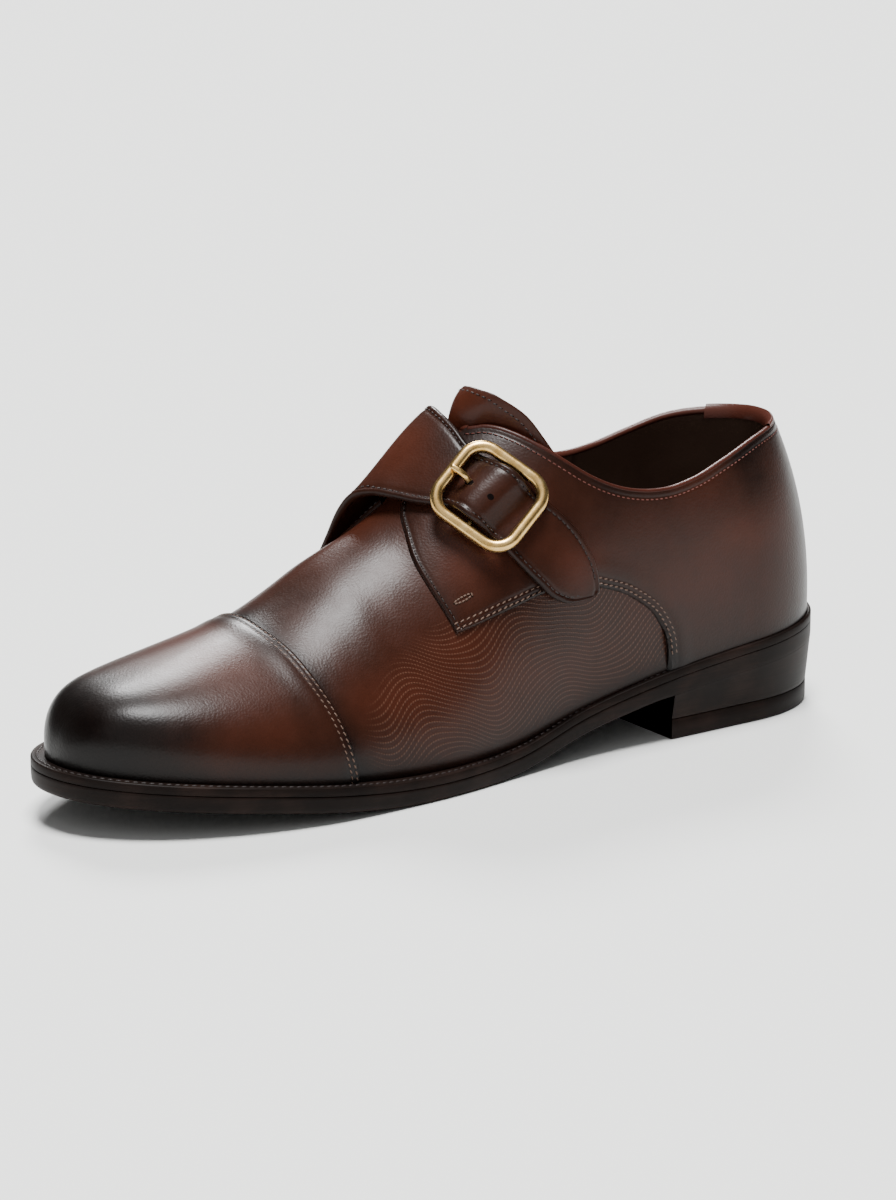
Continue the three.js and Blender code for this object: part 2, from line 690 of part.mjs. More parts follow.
// The point at a height over the last that lies nearest to a place beside the buckle.
function dropToSkin(place, height) {
  let share = (heelY - place.y) / lastLength;
  let girth = buckleGirth;
  const step = 0.002;
  const rounds = 12;
  for (let round = 0; round < rounds; round += 1) {
    const here = skinPoint(share, girth, height);
    const alongShare = skinPoint(share + step, girth, height).sub(here).divideScalar(step);
    const alongGirth = skinPoint(share, girth + step, height).sub(here).divideScalar(step);
    const miss = place.clone().sub(here);
    const [a, b, c] = [alongShare.lengthSq(), alongShare.dot(alongGirth), alongGirth.lengthSq()];
    const [p, q] = [miss.dot(alongShare), miss.dot(alongGirth)];
    share += (p * c - q * b) / (a * c - b * b);
    girth += (q * a - p * b) / (a * c - b * b);
  }
  return skinPoint(share, girth, height);
}

// Tongue: inside the wall under the strap, then out over the top edge.
function makeTongue() {
  const acrossSteps = 12;
  const lengthSteps = 14;
  const crowding = 0.6;
  const topAt = smooth(tongueRows, 'girth', 'top');
  const edge = tongueRows[tongueRows.length - 1].girth;
  const hidden = -upperWall - 2 * gap;
  const grid = (depth) => Array.from({ length: acrossSteps + 1 }, (_, i) => {
    const girth = edge * (2 * i / acrossSteps - 1);
    const top = topAt(Math.abs(girth));
    const mouth = throatShare(girth) - tongueClearance / lastLength;
    return Array.from({ length: lengthSteps + 1 }, (_, j) => {
      const share = tongueRoot + (top - tongueRoot) * (j / lengthSteps) ** crowding;
      const out = clamp((mouth - share) * lastLength / tongueRun, 0, 1);
      const crown = 1 - (girth / edge) ** 2;
      const height = hidden + tongueRise * crown * out * out * (3 - 2 * out);
      return skinPoint(share, girth, height - depth);
    });
  });
  return slab(grid(0), grid(tongueThickness));
}

// Back strip: a narrow strip over the seam at the back, down from the top edge.
function makeBackStrip() {
  const rows = 6;
  const columns = 4;
  const heelPower = 2.2;
  const grid = (height) => Array.from({ length: rows + 1 }, (_, i) => {
    const outset = overlayStep + gap + height;
    const up = backStripFoot + (topEdgeUp(0) - backStripFoot) * i / rows;
    return Array.from({ length: columns + 1 }, (_, j) => {
      const across = 2 * j / columns - 1;
      const narrow = backStripNarrow + (1 - backStripNarrow) * i / rows;
      const reach = Math.abs(across) * narrow * backStripWidth / 2 / (halfWidthAt[1](0) * ballWidth);
      const share = heelRound / lastLength * (1 - (1 - reach ** heelPower) ** (1 / heelPower));
      return formPoint(share, up, across < 0 ? -1 : 1, outset);
    });
  });
  return slab(grid(backStripThickness), grid(0));
}

const calf = { color: 0x4a2417, roughness: 0.4, metalness: 0 };
const edgeLeather = { color: 0x1d130e, roughness: 0.55, metalness: 0 };
const insoleLeather = { color: 0x3a2a20, roughness: 0.7, metalness: 0 };
const brass = { color: 0xb58f4a, roughness: 0.32, metalness: 1 };

const pieces = [
  ['outsole', makeOutsole(), edgeLeather],
  ['welt', makeWelt(), edgeLeather],
  ['heel_stack', makeHeelStack(), edgeLeather],
  ['top_lift', makeTopLift(), edgeLeather],
  ['insole', makeInsole(), insoleLeather],
  ['upper', makeUpper(), calf],
  ['tongue', makeTongue(), calf],
  ['back_strip', makeBackStrip(), calf],
  ['monk_strap', makeStrap(), calf],
  ['buckle_frame', makeFrame(), brass],
  ['buckle_prong', makeProng(), brass],
  ['buckle_tab', makeTab(), calf],
];

const group = new THREE.Group();
for (const [name, geometry, finish] of pieces) {
  const mesh = new THREE.Mesh(geometry, new THREE.MeshStandardMaterial(finish));
  mesh.name = name;
  group.add(mesh);
}

// The origin is under the middle of the box of the whole shoe.
const middle = new THREE.Box3().setFromObject(group).getCenter(new THREE.Vector3());
for (const mesh of group.children) mesh.geometry.translate(-middle.x, -middle.y, 0);

export default group;
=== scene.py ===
import math
import bpy
import numpy as np
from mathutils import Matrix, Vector


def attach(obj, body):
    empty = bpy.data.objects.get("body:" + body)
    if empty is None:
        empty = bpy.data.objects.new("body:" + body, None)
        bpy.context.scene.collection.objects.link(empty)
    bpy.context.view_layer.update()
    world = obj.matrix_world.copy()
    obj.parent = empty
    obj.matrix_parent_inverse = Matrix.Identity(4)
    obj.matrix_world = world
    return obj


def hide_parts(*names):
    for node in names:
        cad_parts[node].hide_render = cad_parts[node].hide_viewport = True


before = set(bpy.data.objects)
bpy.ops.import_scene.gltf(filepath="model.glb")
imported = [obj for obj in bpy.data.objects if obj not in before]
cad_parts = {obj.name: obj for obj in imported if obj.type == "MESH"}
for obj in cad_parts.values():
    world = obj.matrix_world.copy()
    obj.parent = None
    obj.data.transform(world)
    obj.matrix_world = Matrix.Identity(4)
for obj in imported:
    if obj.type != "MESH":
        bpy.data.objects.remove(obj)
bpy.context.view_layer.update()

# Insole
# The board of vegetable-tanned leather that the upper is lasted over and the foot stands on.
# It lies inside the upper, under a thin dark lining leather.
# In millimetres: the last's measures, its round ends, its place, and how thick each leather is.
LENGTH, BALL, INSTEP, HEEL = 296.0, 91.0, 100.0, 32.3
HEEL_ROUND, TOE_ROUND, TOE_DROP, BACK_LEAN = 40.0, 84.0, 62.0, 10.0
SEAT_GAP, WALL, OVERLAY, LINING, BOARD = 0.45, 2.2, 1.3, 0.6, 2.4
MIDDLE_X, HEEL_Y = 0.574, 149.5

last = {
    "at":         [0.00, 0.13, 0.26, 0.38, 0.48, 0.57, 0.655, 0.735, 0.82, 0.91, 1.00],
    "lateral":    [.363, .370, .390, .399, .435, .477, .495, .507, .500, .488, .476],
    "medial":     [.363, .355, .302, .263, .293, .370, .454, .494, .477, .446, .418],
    "outer_swell": [.012, .017, .027, .042, .042, .035, .030, .025, .021, .016, .011],
    "inner_swell": [.020, .030, .070, .121, .109, .082, .048, .025, .016, .014, .011],
    "crest":      [0.00, -.006, -.016, -.040, -.063, -.070, -.065, -.042, -.018, -.008, 0.00],
    "floor":      [1.00, .896, .761, .538, .308, .263, .288, .370, .470, .559, .639],
    "height":     [0.84, 0.90, 0.98, 1.05, 0.97, 0.75, 0.62, .463, .358, .322, .385],
    "power":      [1.02, 0.86, 0.80, 0.82, 0.97, 1.10, 1.14, 1.10, 0.97, 0.76, 0.56],
}


def curve(x, y):
    """A smooth curve through points, straight beyond its ends."""
    x, y = np.array(x, float), np.array(y, float)
    rate = np.diff(y) / np.diff(x)
    slope = np.empty_like(y)
    slope[0], slope[-1] = rate[0], rate[-1]
    before, after = np.diff(x)[:-1], np.diff(x)[1:]
    slope[1:-1] = (rate[:-1] * after + rate[1:] * before) / (before + after)

    def at(value):
        value = np.asarray(value, float)
        i = np.clip(np.searchsorted(x, value, side="right") - 1, 0, len(x) - 2)
        span = x[i + 1] - x[i]
        t = (value - x[i]) / span
        inside = ((1 + 2 * t) * (1 - t) ** 2 * y[i] + t * (1 - t) ** 2 * span * slope[i]
                  + t * t * (3 - 2 * t) * y[i + 1] + t * t * (t - 1) * span * slope[i + 1])
        low = y[0] + slope[0] * (value - x[0])
        high = y[-1] + slope[-1] * (value - x[-1])
        return np.where(value < x[0], low, np.where(value > x[-1], high, inside))
    return at


last_at = {name: curve(last["at"], last[name]) for name in last if name != "at"}
margin_at = curve([0, .2, .36, .5, .62, .8, 1], [3.0, 2.5, 2.0, 3.5, 5.0, 5.0, 6.0])


def rounding(distance, reach, power=2):
    """From 0 at an edge to 1 at a reach from it, round like a quarter circle."""
    left = np.clip(1 - distance / reach, 0, 1)
    return (1 - left ** power) ** (1 / power)


def share_of(turn):
    """The share of the length at a turn from the heel's back to the toe, crowded at the round ends."""
    return (1 - np.cos(np.pi * turn)) / 2


def unit(vectors):
    """The same directions with a length of one."""
    return vectors / np.maximum(np.linalg.norm(vectors, axis=-1, keepdims=True), 1e-9)


def closing_at(share):
    """How much of its width the last keeps towards its round ends."""
    station = share * LENGTH
    return rounding(station, HEEL_ROUND, 2.2) * rounding(LENGTH - station, TOE_ROUND, 2.05)


def floor_at(share):
    """The height of the last's underside, in millimetres."""
    return last_at["floor"](share) * HEEL


def outline(turn, side, outwards):
    """A point of the sole's outline in plan: x and the share of the length."""
    def plan(t):
        share = share_of(t)
        half = np.where(side > 0, last_at["lateral"](share), last_at["medial"](share)) * BALL
        return np.stack([side * half * closing_at(share), share * LENGTH], -1)
    step = 1e-3
    tangent = plan(np.minimum(turn + step, 1)) - plan(np.maximum(turn - step, 0))
    ends = (turn < step) | (turn > 1 - step)
    tangent[..., 1] = np.where(ends, 0, tangent[..., 1])
    tangent = unit(tangent)
    outward = np.stack([side * tangent[..., 1], -side * tangent[..., 0]], -1)
    place = plan(turn) + outward * np.asarray(outwards)[..., None]
    return place[..., 0] - MIDDLE_X, place[..., 1] / LENGTH


def piece(name, points, faces, material, marks=None, smooth=38):
    """A mesh from points in millimetres, with equal points joined and marks kept for the material."""
    points = np.asarray(points, float).reshape(-1, 3)
    _, first, index = np.unique(np.round(points, 3), axis=0, return_index=True, return_inverse=True)
    index = index.reshape(-1)
    kept = []
    for face in index[np.asarray(faces)].tolist():
        face = [v for i, v in enumerate(face) if v != face[i - 1]]
        if len(face) > 2 and len(set(face)) == len(face):
            kept.append(face)
    mesh = bpy.data.meshes.new(name)
    mesh.from_pydata((points[first] / 1000).tolist(), [], kept)
    for mark, values in (marks or {}).items():
        layer = mesh.attributes.new(mark, "FLOAT", "POINT")
        layer.data.foreach_set("value", np.asarray(values, np.float32).reshape(-1)[first])
    mesh.validate()
    mesh.polygons.foreach_set("use_smooth", [True] * len(mesh.polygons))
    mesh.set_sharp_from_angle(angle=math.radians(smooth))
    mesh.materials.append(material)
    obj = bpy.data.objects.new(name, mesh)
    bpy.context.collection.objects.link(obj)
    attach(obj, "root")
    return obj


def quads(rows, columns, flip=False, loop=False, start=0):
    """The faces of a grid of points; loop joins the last column to the first."""
    i, j = np.meshgrid(np.arange(rows - 1), np.arange(columns if loop else columns - 1), indexing="ij")
    k = (j + 1) % columns
    faces = np.stack([i * columns + j, i * columns + k, (i + 1) * columns + k, (i + 1) * columns + j], -1)
    faces = faces.reshape(-1, 4) + start
    return faces[:, ::-1] if flip else faces


def linear(colour):
    """An sRGB hex colour as linear red, green, blue, alpha."""
    parts = [int(colour[i:i + 2], 16) / 255 for i in (1, 3, 5)]
    return tuple(c / 12.92 if c <= .04045 else ((c + .055) / 1.055) ** 2.4 for c in parts) + (1.0,)


def add(tree, kind, values=None, links=None, stops=(), **settings):
    """A node with its settings, socket values and links, and the stops of a colour ramp."""
    node = tree.nodes.new(kind)
    for name, value in settings.items():
        setattr(node, name, value)
    for socket, value in (values or {}).items():
        node.inputs[socket].default_value = value
    for socket, source in (links or {}).items():
        tree.links.new(source, node.inputs[socket])
    for _ in stops[2:]:
        node.color_ramp.elements.new(0.5)
    for stop, (place, colour) in zip(node.color_ramp.elements if stops else (), stops):
        stop.position, stop.color = place, linear(colour)
    return node


def surface(name, **shine):
    """A material with its node tree and shader, with the same shine all over the surface."""
    material = bpy.data.materials.new(name)
    material.use_nodes = True
    shader = material.node_tree.nodes["Principled BSDF"]
    for socket, value in shine.items():
        shader.inputs[socket].default_value = value
    return material, material.node_tree, shader


# Drum-dyed sock leather: matte, with a fine pore about 0.8 mm apart and slight shade from wear.
sock_leather, tree, shader = surface("sock_leather", Roughness=0.62, IOR=1.48)
place = add(tree, "ShaderNodeTexCoord").outputs["Object"]
blotch = add(tree, "ShaderNodeTexNoise", {"Scale": 45.0, "Detail": 3.0}, {"Vector": place})
colour = add(tree, "ShaderNodeValToRGB", links={"Fac": blotch.outputs["Fac"]},
             stops=[(0.3, "#1a0f0b"), (0.7, "#2c1a13")])
tree.links.new(colour.outputs["Color"], shader.inputs["Base Color"])
pore = add(tree, "ShaderNodeTexVoronoi", {"Scale": 1250.0}, {"Vector": place})
bump = add(tree, "ShaderNodeBump", {"Strength": 0.25, "Distance": 0.0002},
           {"Height": pore.outputs["Distance"]})
tree.links.new(bump.outputs["Normal"], shader.inputs["Normal"])

rows, columns = 120, 40
turns = np.linspace(0, 1, rows)[:, None]
across = np.linspace(0, 1, columns)[None, :]
inner_x, inner_share = outline(turns, -1, -WALL - LINING + 0 * turns)
outer_x, outer_share = outline(turns, 1, -WALL - LINING + 0 * turns)
x = inner_x + (outer_x - inner_x) * across
share = inner_share + (outer_share - inner_share) * across
cup = 1.2 * (2 * across - 1) ** 4 * np.sin(np.pi * turns)
underside = floor_at(share) + SEAT_GAP
board = np.concatenate([np.stack([x, HEEL_Y - share * LENGTH, level], -1)
                        for level in (underside + BOARD + cup, underside)])
place = np.arange(rows * columns).reshape(rows, columns)
edge = np.concatenate([place[:, 0], place[-1], place[::-1, -1], place[0, ::-1]])
before = np.roll(edge, 1)
rim = np.stack([edge, before, before + place.size, edge + place.size], -1)
top = quads(rows, columns)
insole = piece("insole_board", board, np.concatenate([top, top[:, ::-1] + place.size, rim]), sock_leather)
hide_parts("insole")

# Vamp
# The calf leather over the front of the foot, lasted over the insole and sewn to the welt.
# Its sides carry a fine pressed pattern of flowing lines between the toe cap and the quarters.


HALF_GIRTH, LEAN_REACH, LEAN_LEVEL = 90, 90, 0.62


def crest_height(share, outset):
    """The height of the last's crest over its underside."""
    return (last_at["height"](share) * INSTEP + outset) * rounding((1 - share) * LENGTH, TOE_DROP, 2.1)


def form(share, girth, outset=0.0):
    """A point of the last; girth is -1 at the inner welt, 0 on the crest and 1 at the outer welt."""
    share, girth, outset = np.broadcast_arrays(*(np.asarray(v, float) for v in (share, girth, outset)))
    side = np.where(girth < 0, -1.0, 1.0)
    up = 1 - np.abs(girth)
    turn = np.clip(up, 0, 1) * np.pi / 2
    power = last_at["power"](share)
    across = np.maximum(np.cos(turn), 0) ** power
    rise = np.sin(turn) ** power * crest_height(share, outset)
    closing = closing_at(share)
    bulge = 27 / 4 * up * (1 - up) ** 2 * np.sqrt(closing)
    half = np.where(side > 0, last_at["lateral"](share), last_at["medial"](share)) * BALL + outset
    swell = np.where(side > 0, last_at["outer_swell"](share), last_at["inner_swell"](share)) * BALL
    half = half * closing + swell * bulge
    fade = np.clip(1 - share * LENGTH / LEAN_REACH, 0, 1) ** 2
    lean = BACK_LEAN * (np.maximum(rise, 0) / (LEAN_LEVEL * INSTEP)) ** 2.2 * fade
    station = share * (LENGTH + 2 * outset) - outset
    x = side * half * across + last_at["crest"](share) * BALL * (1 - across) - MIDDLE_X
    return np.stack([x, HEEL_Y - station - lean, floor_at(station / LENGTH) + SEAT_GAP + rise], -1)


def normal_at(share, girth):
    """The direction straight out of the last."""
    step = 0.002
    along = form(share + step, girth) - form(share - step, girth)
    around = form(share, girth + step) - form(share, girth - step)
    return unit(np.cross(along, around))


def skin(share, girth, height):
    """A point at a height over the last, along its normal."""
    return form(share, girth) + normal_at(share, girth) * np.asarray(height, float)[..., None]


def up_at(share, level):
    """How far up the section a level in millimetres over the floor lies."""
    share = np.asarray(share, float)
    part = np.clip((level - floor_at(share) - SEAT_GAP) / crest_height(share, 0), 0, 1)
    return np.arcsin(part ** (1 / last_at["power"](share))) * 2 / np.pi


def depth_along(points):
    """The length along each row of points, in millimetres."""
    step = np.linalg.norm(np.diff(points, axis=1), axis=-1)
    return np.concatenate([np.zeros((len(points), 1)), np.cumsum(step, axis=1)], axis=1)


def run_of(line):
    """The length along one line of points."""
    return depth_along(line[None])[0]


def settle(place, share, girth, height=0.0):
    """The share and girth whose point at that height over the last lies nearest to each place."""
    step = 1e-3
    share, girth = np.array(share, float), np.array(girth, float)
    for _ in range(8):
        here = skin(share, girth, height)
        by_share = (skin(share + step, girth, height) - here) / step
        by_girth = (skin(share, girth + step, height) - here) / step
        miss = place - here
        a, b, c = (by_share ** 2).sum(-1), (by_share * by_girth).sum(-1), (by_girth ** 2).sum(-1)
        p, q = (miss * by_share).sum(-1), (miss * by_girth).sum(-1)
        share = share + (p * c - q * b) / (a * c - b * b)
        girth = girth + (q * a - p * b) / (a * c - b * b)
    return share, girth


def distance_to(points, line):
    """The distance from each point to the nearest point of a line of points."""
    flat = points.reshape(-1, 3)
    nearest = np.concatenate([
        np.sqrt(((part[:, None, :] - line[None, :, :]) ** 2).sum(-1)).min(1)
        for part in np.array_split(flat, max(1, len(flat) // 4000))])
    return nearest.reshape(points.shape[:-1])


# Where the colour is rubbed redder or burnished darker, and two places lightened as painted sheen: station
# and girth in the middle of the place, its reach in millimetres along and around, and how much redder or
# lighter (+) or darker (-) it is.
dye_and_sheen_places = [
    (292, 0.00, 20, 34, -0.528), (270, 0.60, 20, 14, -0.176), (246, 0.25, 15, 20, 0.165),
    (238, -0.25, 15, 22, 0.154), (240, 0.72, 15, 12, 0.110), (226, 0.10, 5, 40, -0.160),
    (212, 0.05, 14, 12, -0.096), (204, -0.30, 20, 14, 0.165), (192, 0.30, 20, 16, -0.032),
    (196, 0.68, 24, 10, 0.132), (176, -0.10, 16, 12, 0.143), (160, 0.66, 18, 9, 0.143),
    (150, -0.08, 14, 11, 0.198), (142, 0.16, 10, 9, -0.144), (160, -0.55, 26, 16, 0.110),
    (128, 0.80, 26, 12, -0.128), (104, 0.52, 14, 14, 0.033), (60, 0.58, 15, 14, 0.220),
    (46, 0.76, 14, 9, 0.165), (76, 0.86, 22, 9, 0.110), (34, 0.55, 9, 16, -0.160),
    (6, 0.70, 12, 40, -0.240), (92, -0.55, 30, 20, 0.121), (40, -0.62, 26, 22, 0.121),
    # The first two places on this line, on the front of the outer quarter and at the strap's tip, are painted
    # sheen: lighter where the front lamp's sheen falls.
    (156, 0.47, 9, 9, 0.187), (116, 0.72, 12, 9, 0.253), (150, 0.80, 34, 14, 0.121),
]
dye_and_sheen_centres = form(*(np.array(dye_and_sheen_places)[:, :2] / [LENGTH, 1]).T)


def dye_and_painted_sheen(points, share):
    """How red the leather's tone is, from 0 at a black burnish to 1 at a rubbed red-brown, with two places of
    painted sheen.
    """
    tone = np.full(points.shape[:-1], 0.5)
    for (_, _, along, around, amount), centre in zip(dye_and_sheen_places, dye_and_sheen_centres):
        x, y, z = np.moveaxis(points - centre, -1, 0)
        tone += amount * np.exp(-(y / along) ** 2 - (x ** 2 + z ** 2) / around ** 2)
    welt = points[..., 2] - floor_at(share)
    return tone - 0.34 * np.exp(-np.maximum(welt, 0) / 7)


def calf(name, grain, stops):
    """Aniline calf, dyed by hand and burnished: a clear wax gloss over mottled brown, with a fine grain."""
    material, tree, shader = surface(name, **{"IOR": 1.25, "Coat Weight": 0.06, "Coat Roughness": 0.24})
    place = add(tree, "ShaderNodeTexCoord").outputs["Object"]
    patina = add(tree, "ShaderNodeAttribute", attribute_name="patina").outputs["Fac"]
    cloud = add(tree, "ShaderNodeTexNoise", {"Scale": 34.0, "Detail": 4.0, "Roughness": 0.55},
                {"Vector": place})
    streak = add(tree, "ShaderNodeTexNoise", {"Scale": 160.0, "Detail": 5.0, "Roughness": 0.7},
                 {"Vector": place})
    wide = add(tree, "ShaderNodeMath", {1: 0.34, 2: -0.17}, {0: cloud.outputs["Fac"]},
               operation="MULTIPLY_ADD")
    fine = add(tree, "ShaderNodeMath", {1: 0.16, 2: -0.08}, {0: streak.outputs["Fac"]},
               operation="MULTIPLY_ADD")
    mottled = add(tree, "ShaderNodeMath", links={0: wide.outputs[0], 1: fine.outputs[0]}, operation="ADD")
    tone = add(tree, "ShaderNodeMath", links={0: patina, 1: mottled.outputs[0]}, operation="ADD")
    colour = add(tree, "ShaderNodeValToRGB", links={"Fac": tone.outputs[0]}, stops=stops)
    # The grain of calf, cells of about 0.7 mm with softer hills of 3 mm under them.
    cell = add(tree, "ShaderNodeTexVoronoi", {"Scale": grain}, {"Vector": place}, feature="SMOOTH_F1")
    hill = add(tree, "ShaderNodeTexNoise", {"Scale": 330.0, "Detail": 3.0}, {"Vector": place})
    relief = add(tree, "ShaderNodeMath", {1: 1.4}, {0: cell.outputs["Distance"], 2: hill.outputs["Fac"]},
                 operation="MULTIPLY_ADD")
    gloss = add(tree, "ShaderNodeMapRange",
                {"From Min": 0.2, "From Max": 0.8, "To Min": 0.30, "To Max": 0.40},
                {"Value": streak.outputs["Fac"]})
    tree.links.new(gloss.outputs["Result"], shader.inputs["Roughness"])
    # The pressed lines lie 1.9 mm apart and are dotted; they run along the foot in long waves.
    mask = add(tree, "ShaderNodeAttribute", attribute_name="pressed").outputs["Fac"]
    station = add(tree, "ShaderNodeAttribute", attribute_name="station").outputs["Fac"]
    depth = add(tree, "ShaderNodeAttribute", attribute_name="wave").outputs["Fac"]
    for operation, value in (("MULTIPLY", 2 * math.pi / 1.9), ("SINE", 0), ("MAXIMUM", 0), ("POWER", 3)):
        depth = add(tree, "ShaderNodeMath", {1: value}, {0: depth}, operation=operation).outputs[0]
    for operation, value, more in (("MULTIPLY", 2 * math.pi, 0), ("SINE", 0, 0),
                                   ("MULTIPLY_ADD", 0.45, 0.55)):
        station = add(tree, "ShaderNodeMath", {1: value, 2: more}, {0: station},
                      operation=operation).outputs[0]
    line = add(tree, "ShaderNodeMath", links={0: depth, 1: station}, operation="MULTIPLY")
    pressed = add(tree, "ShaderNodeMath", links={0: line.outputs[0], 1: mask}, operation="MULTIPLY")
    shown = add(tree, "ShaderNodeMath", {1: 0.28}, {0: pressed.outputs[0]}, operation="MULTIPLY")
    worn = add(tree, "ShaderNodeMix", {"B": linear("#8a6450")},
               {"Factor": shown.outputs[0], "A": colour.outputs["Color"]}, data_type="RGBA")
    tree.links.new(worn.outputs["Result"], shader.inputs["Base Color"])
    first = add(tree, "ShaderNodeBump", {"Strength": 0.12, "Distance": 0.0003}, {"Height": relief.outputs[0]})
    second = add(tree, "ShaderNodeBump", {"Strength": 0.3, "Distance": 0.0003},
                 {"Height": pressed.outputs[0], "Normal": first.outputs["Normal"]})
    tree.links.new(second.outputs["Normal"], shader.inputs["Normal"])
    return material


burnished_calf = calf("burnished_calf", 1400.0, [
    (0.0, "#070302"), (0.2, "#130906"), (0.42, "#2a140c"), (0.62, "#381a10"), (0.82, "#442014"),
    (1.0, "#542a1c")])


def top_edge_up(share):
    """How far up the section the top edge lies, 1 where the upper closes over the instep."""
    level = curve(
        [0, .10, .16, .21, .255, .29, .335, .365, .385, .4085, .4276, .4361, .4453, .4592, .470],
        [.668, .668, .643, .623, .625, .650, .714, .781, .838, .909, .961, .979, .990, .990, .990])
    share = np.asarray(share, float)
    part = np.clip(level(share) * INSTEP / crest_height(share, 0), 0, 1)
    return np.where(share > .470, 1.0, np.arcsin(part ** (1 / last_at["power"](share))) * 2 / np.pi)


def throat_share(girth):
    """The station where the opening ends in front, at a girth."""
    back, front = np.full(np.shape(girth), 0.3), np.full(np.shape(girth), 0.470)
    for _ in range(20):
        middle = (back + front) / 2
        below = top_edge_up(middle) < 1 - np.abs(girth)
        back, front = np.where(below, middle, back), np.where(below, front, middle)
    return front


def marks_of(points, share, **others):
    """What the leather's material reads: the tone with its painted light, the place along the foot and the
    pressed lines.
    """
    plain = 0 * points[..., 0]
    marks = {"patina": dye_and_painted_sheen(points, share), "station": share * LENGTH + plain, "wave": plain, "pressed": plain}
    marks.update(others)
    return marks


# The station of the cap's seam over the vamp, by the height over the floor in millimetres.
cap_seam_rise = curve([-10, 12, 19, 27, 36, 44, 51, 56, 90],
                      [.700, .706, .712, .718, .725, .733, .740, .748, .756])


def seam_share(girth):
    """The station of the cap's seam at a girth: the seam leans with the height of the leather."""
    share = np.full(np.shape(girth), 0.73)
    for _ in range(30):
        share = 0.5 * share + 0.5 * cap_seam_rise(form(share, girth)[..., 2])
    return share


def soft_step(value, start, end):
    """From 0 at the start to 1 at the end, with soft turns."""
    t = np.clip((value - start) / (end - start), 0, 1)
    return t * t * (3 - 2 * t)


def tuck(point, girth):
    """The same points, with the lowest edge of the leather drawn in under the foot at the welt."""
    point[..., 2] -= 0.9 * np.exp(-(1 - np.abs(girth)) * HALF_GIRTH / 1.2)
    return point


share = np.linspace(0.45, 0.80, 150)[:, None]
girth = np.linspace(-1, 1, 401)[None, :]
vamp_parts = [(share + 0 * girth, girth + 0 * share)]
share = np.linspace(0.24, 0.45, 90)[:, None] + np.zeros(90)
up = np.linspace(0, 1, 90)[None, :] * np.minimum(0.5, 0.8 * top_edge_up(share))
vamp_parts += [(share, up - 1), (share, (1 - up)[:, ::-1])]
creases = [(200, 9, .12, 5.0), (186, 6, .15, 5.5), (174, 3, .10, 5.0)]
points, faces, marks, count = [], [], [], 0
for share, girth in vamp_parts:
    bare = form(share, girth)
    station = share * LENGTH
    # Soft creases over the ball, where the leather folds when the foot bends.
    crease = 0
    fade = np.exp(-((np.abs(girth) - 0.42) / 0.30) ** 2)
    for middle, lean, amount, reach in creases:
        path = middle + lean * (2 * np.abs(girth) - 1) ** 2 - station
        fold = np.exp(-(path / reach) ** 2) - 0.5 * np.exp(-((path - 1.6 * reach) / reach) ** 2)
        crease = crease - amount * fade * fold
    # The lines run in waves of about 50 mm beside the welt.
    ways = ((girth[0, 0], depth_along(bare)), (girth[0, -1], depth_along(bare[:, ::-1])[:, ::-1]))
    from_welt = np.minimum.reduce([depth for end, depth in ways if abs(end) == 1])
    wave = (from_welt + 5.2 * np.sin(2 * np.pi * station / 50 - from_welt / 15 + 2.4)
            + 0.5 * np.sin(2 * np.pi * station / 21))
    upper_line = curve([78, 120, 150, 170, 188, 200, 212], [.20, .38, .44, .48, .44, .36, .24])(station)
    pressed = 1 - soft_step(1 - np.abs(girth), upper_line - 0.10, upper_line)
    pressed = pressed * (1 - soft_step(station, 194, 208)) * soft_step(from_welt, 2, 8)
    mark = marks_of(bare, share, wave=wave, pressed=pressed)
    mark["patina"] -= 0.26 * np.exp(-np.abs(station - seam_share(girth) * LENGTH) / 5)
    points.append(tuck(form(share, girth, crease), girth).reshape(-1, 3))
    faces.append(quads(*share.shape, flip=True, start=count))
    marks.append({name: value.reshape(-1) for name, value in mark.items()})
    count += share.size
vamp = piece("vamp", np.concatenate(points), np.concatenate(faces), burnished_calf,
             {name: np.concatenate([m[name] for m in marks]) for name in marks[0]})

# Toe cap
# A second piece of calf over the toe, folded at its edge and sewn to the vamp with two rows.
# It is burnished nearly black at the tip and has the same gloss as the rest.


def fine_ends(count, start, end, inside=0.03, steps=9):
    """Shares from 0 to 1 that crowd at the ends that carry a folded edge."""
    crowd = inside * (np.linspace(0, 1, steps, endpoint=False) ** 1.9)
    low = crowd if start else [0.0]
    high = 1 - crowd[::-1] if end else [1.0]
    middle = np.linspace(inside if start else 0, 1 - inside if end else 1, count)
    return np.unique(np.concatenate([low, middle, high]))


def folded(distance, radius=0.9, sink=0.45):
    """The height of a leather piece by the distance from its folded edge, with the pull of a seam."""
    puff = 0.16 * np.exp(-((distance - 6.0) / 3.0) ** 2)
    return -sink + (OVERLAY + sink) * rounding(distance, radius) + puff


def pulled(distance, rows, amount=0.22, reach=0.55):
    """The groove that the thread pulls into the leather along each row of stitches."""
    return -amount * sum(np.exp(-((distance - row) / reach) ** 2) for row in rows)


CAP_ROWS = (1.5, 3.4)
even_girth = np.linspace(-1, 1, 301)[None, :]
girth = 0.35 * np.sin(even_girth * np.pi / 2) + 0.65 * even_girth
start = seam_share(girth)
t = fine_ends(100, True, False, 0.06, 12)[:, None]
share = start + (1 - start) * (0.25 * t + 0.75 * np.sin(t * np.pi / 2))
bare = form(share, girth)
edge_girth = np.linspace(-1, 1, 900)
away = distance_to(bare, form(seam_share(edge_girth), edge_girth))
point = tuck(form(share, girth, folded(away) + pulled(away, CAP_ROWS)), girth)
mark = marks_of(bare, share)
mark["patina"] -= 0.30 * np.exp(-away / 4.5)
cap = piece("toe_cap", point, quads(*share.shape, flip=True), burnished_calf, mark)

# Quarters
# The two sides of the upper, each one piece of calf from the back seam to its front edge on the vamp.
# They are folded at the edge, sewn with two rows below and one in front, and closed at the back.


LOWER_ROWS, FRONT_ROW, RIM_ROW = (1.5, 3.3), 1.8, 3.0


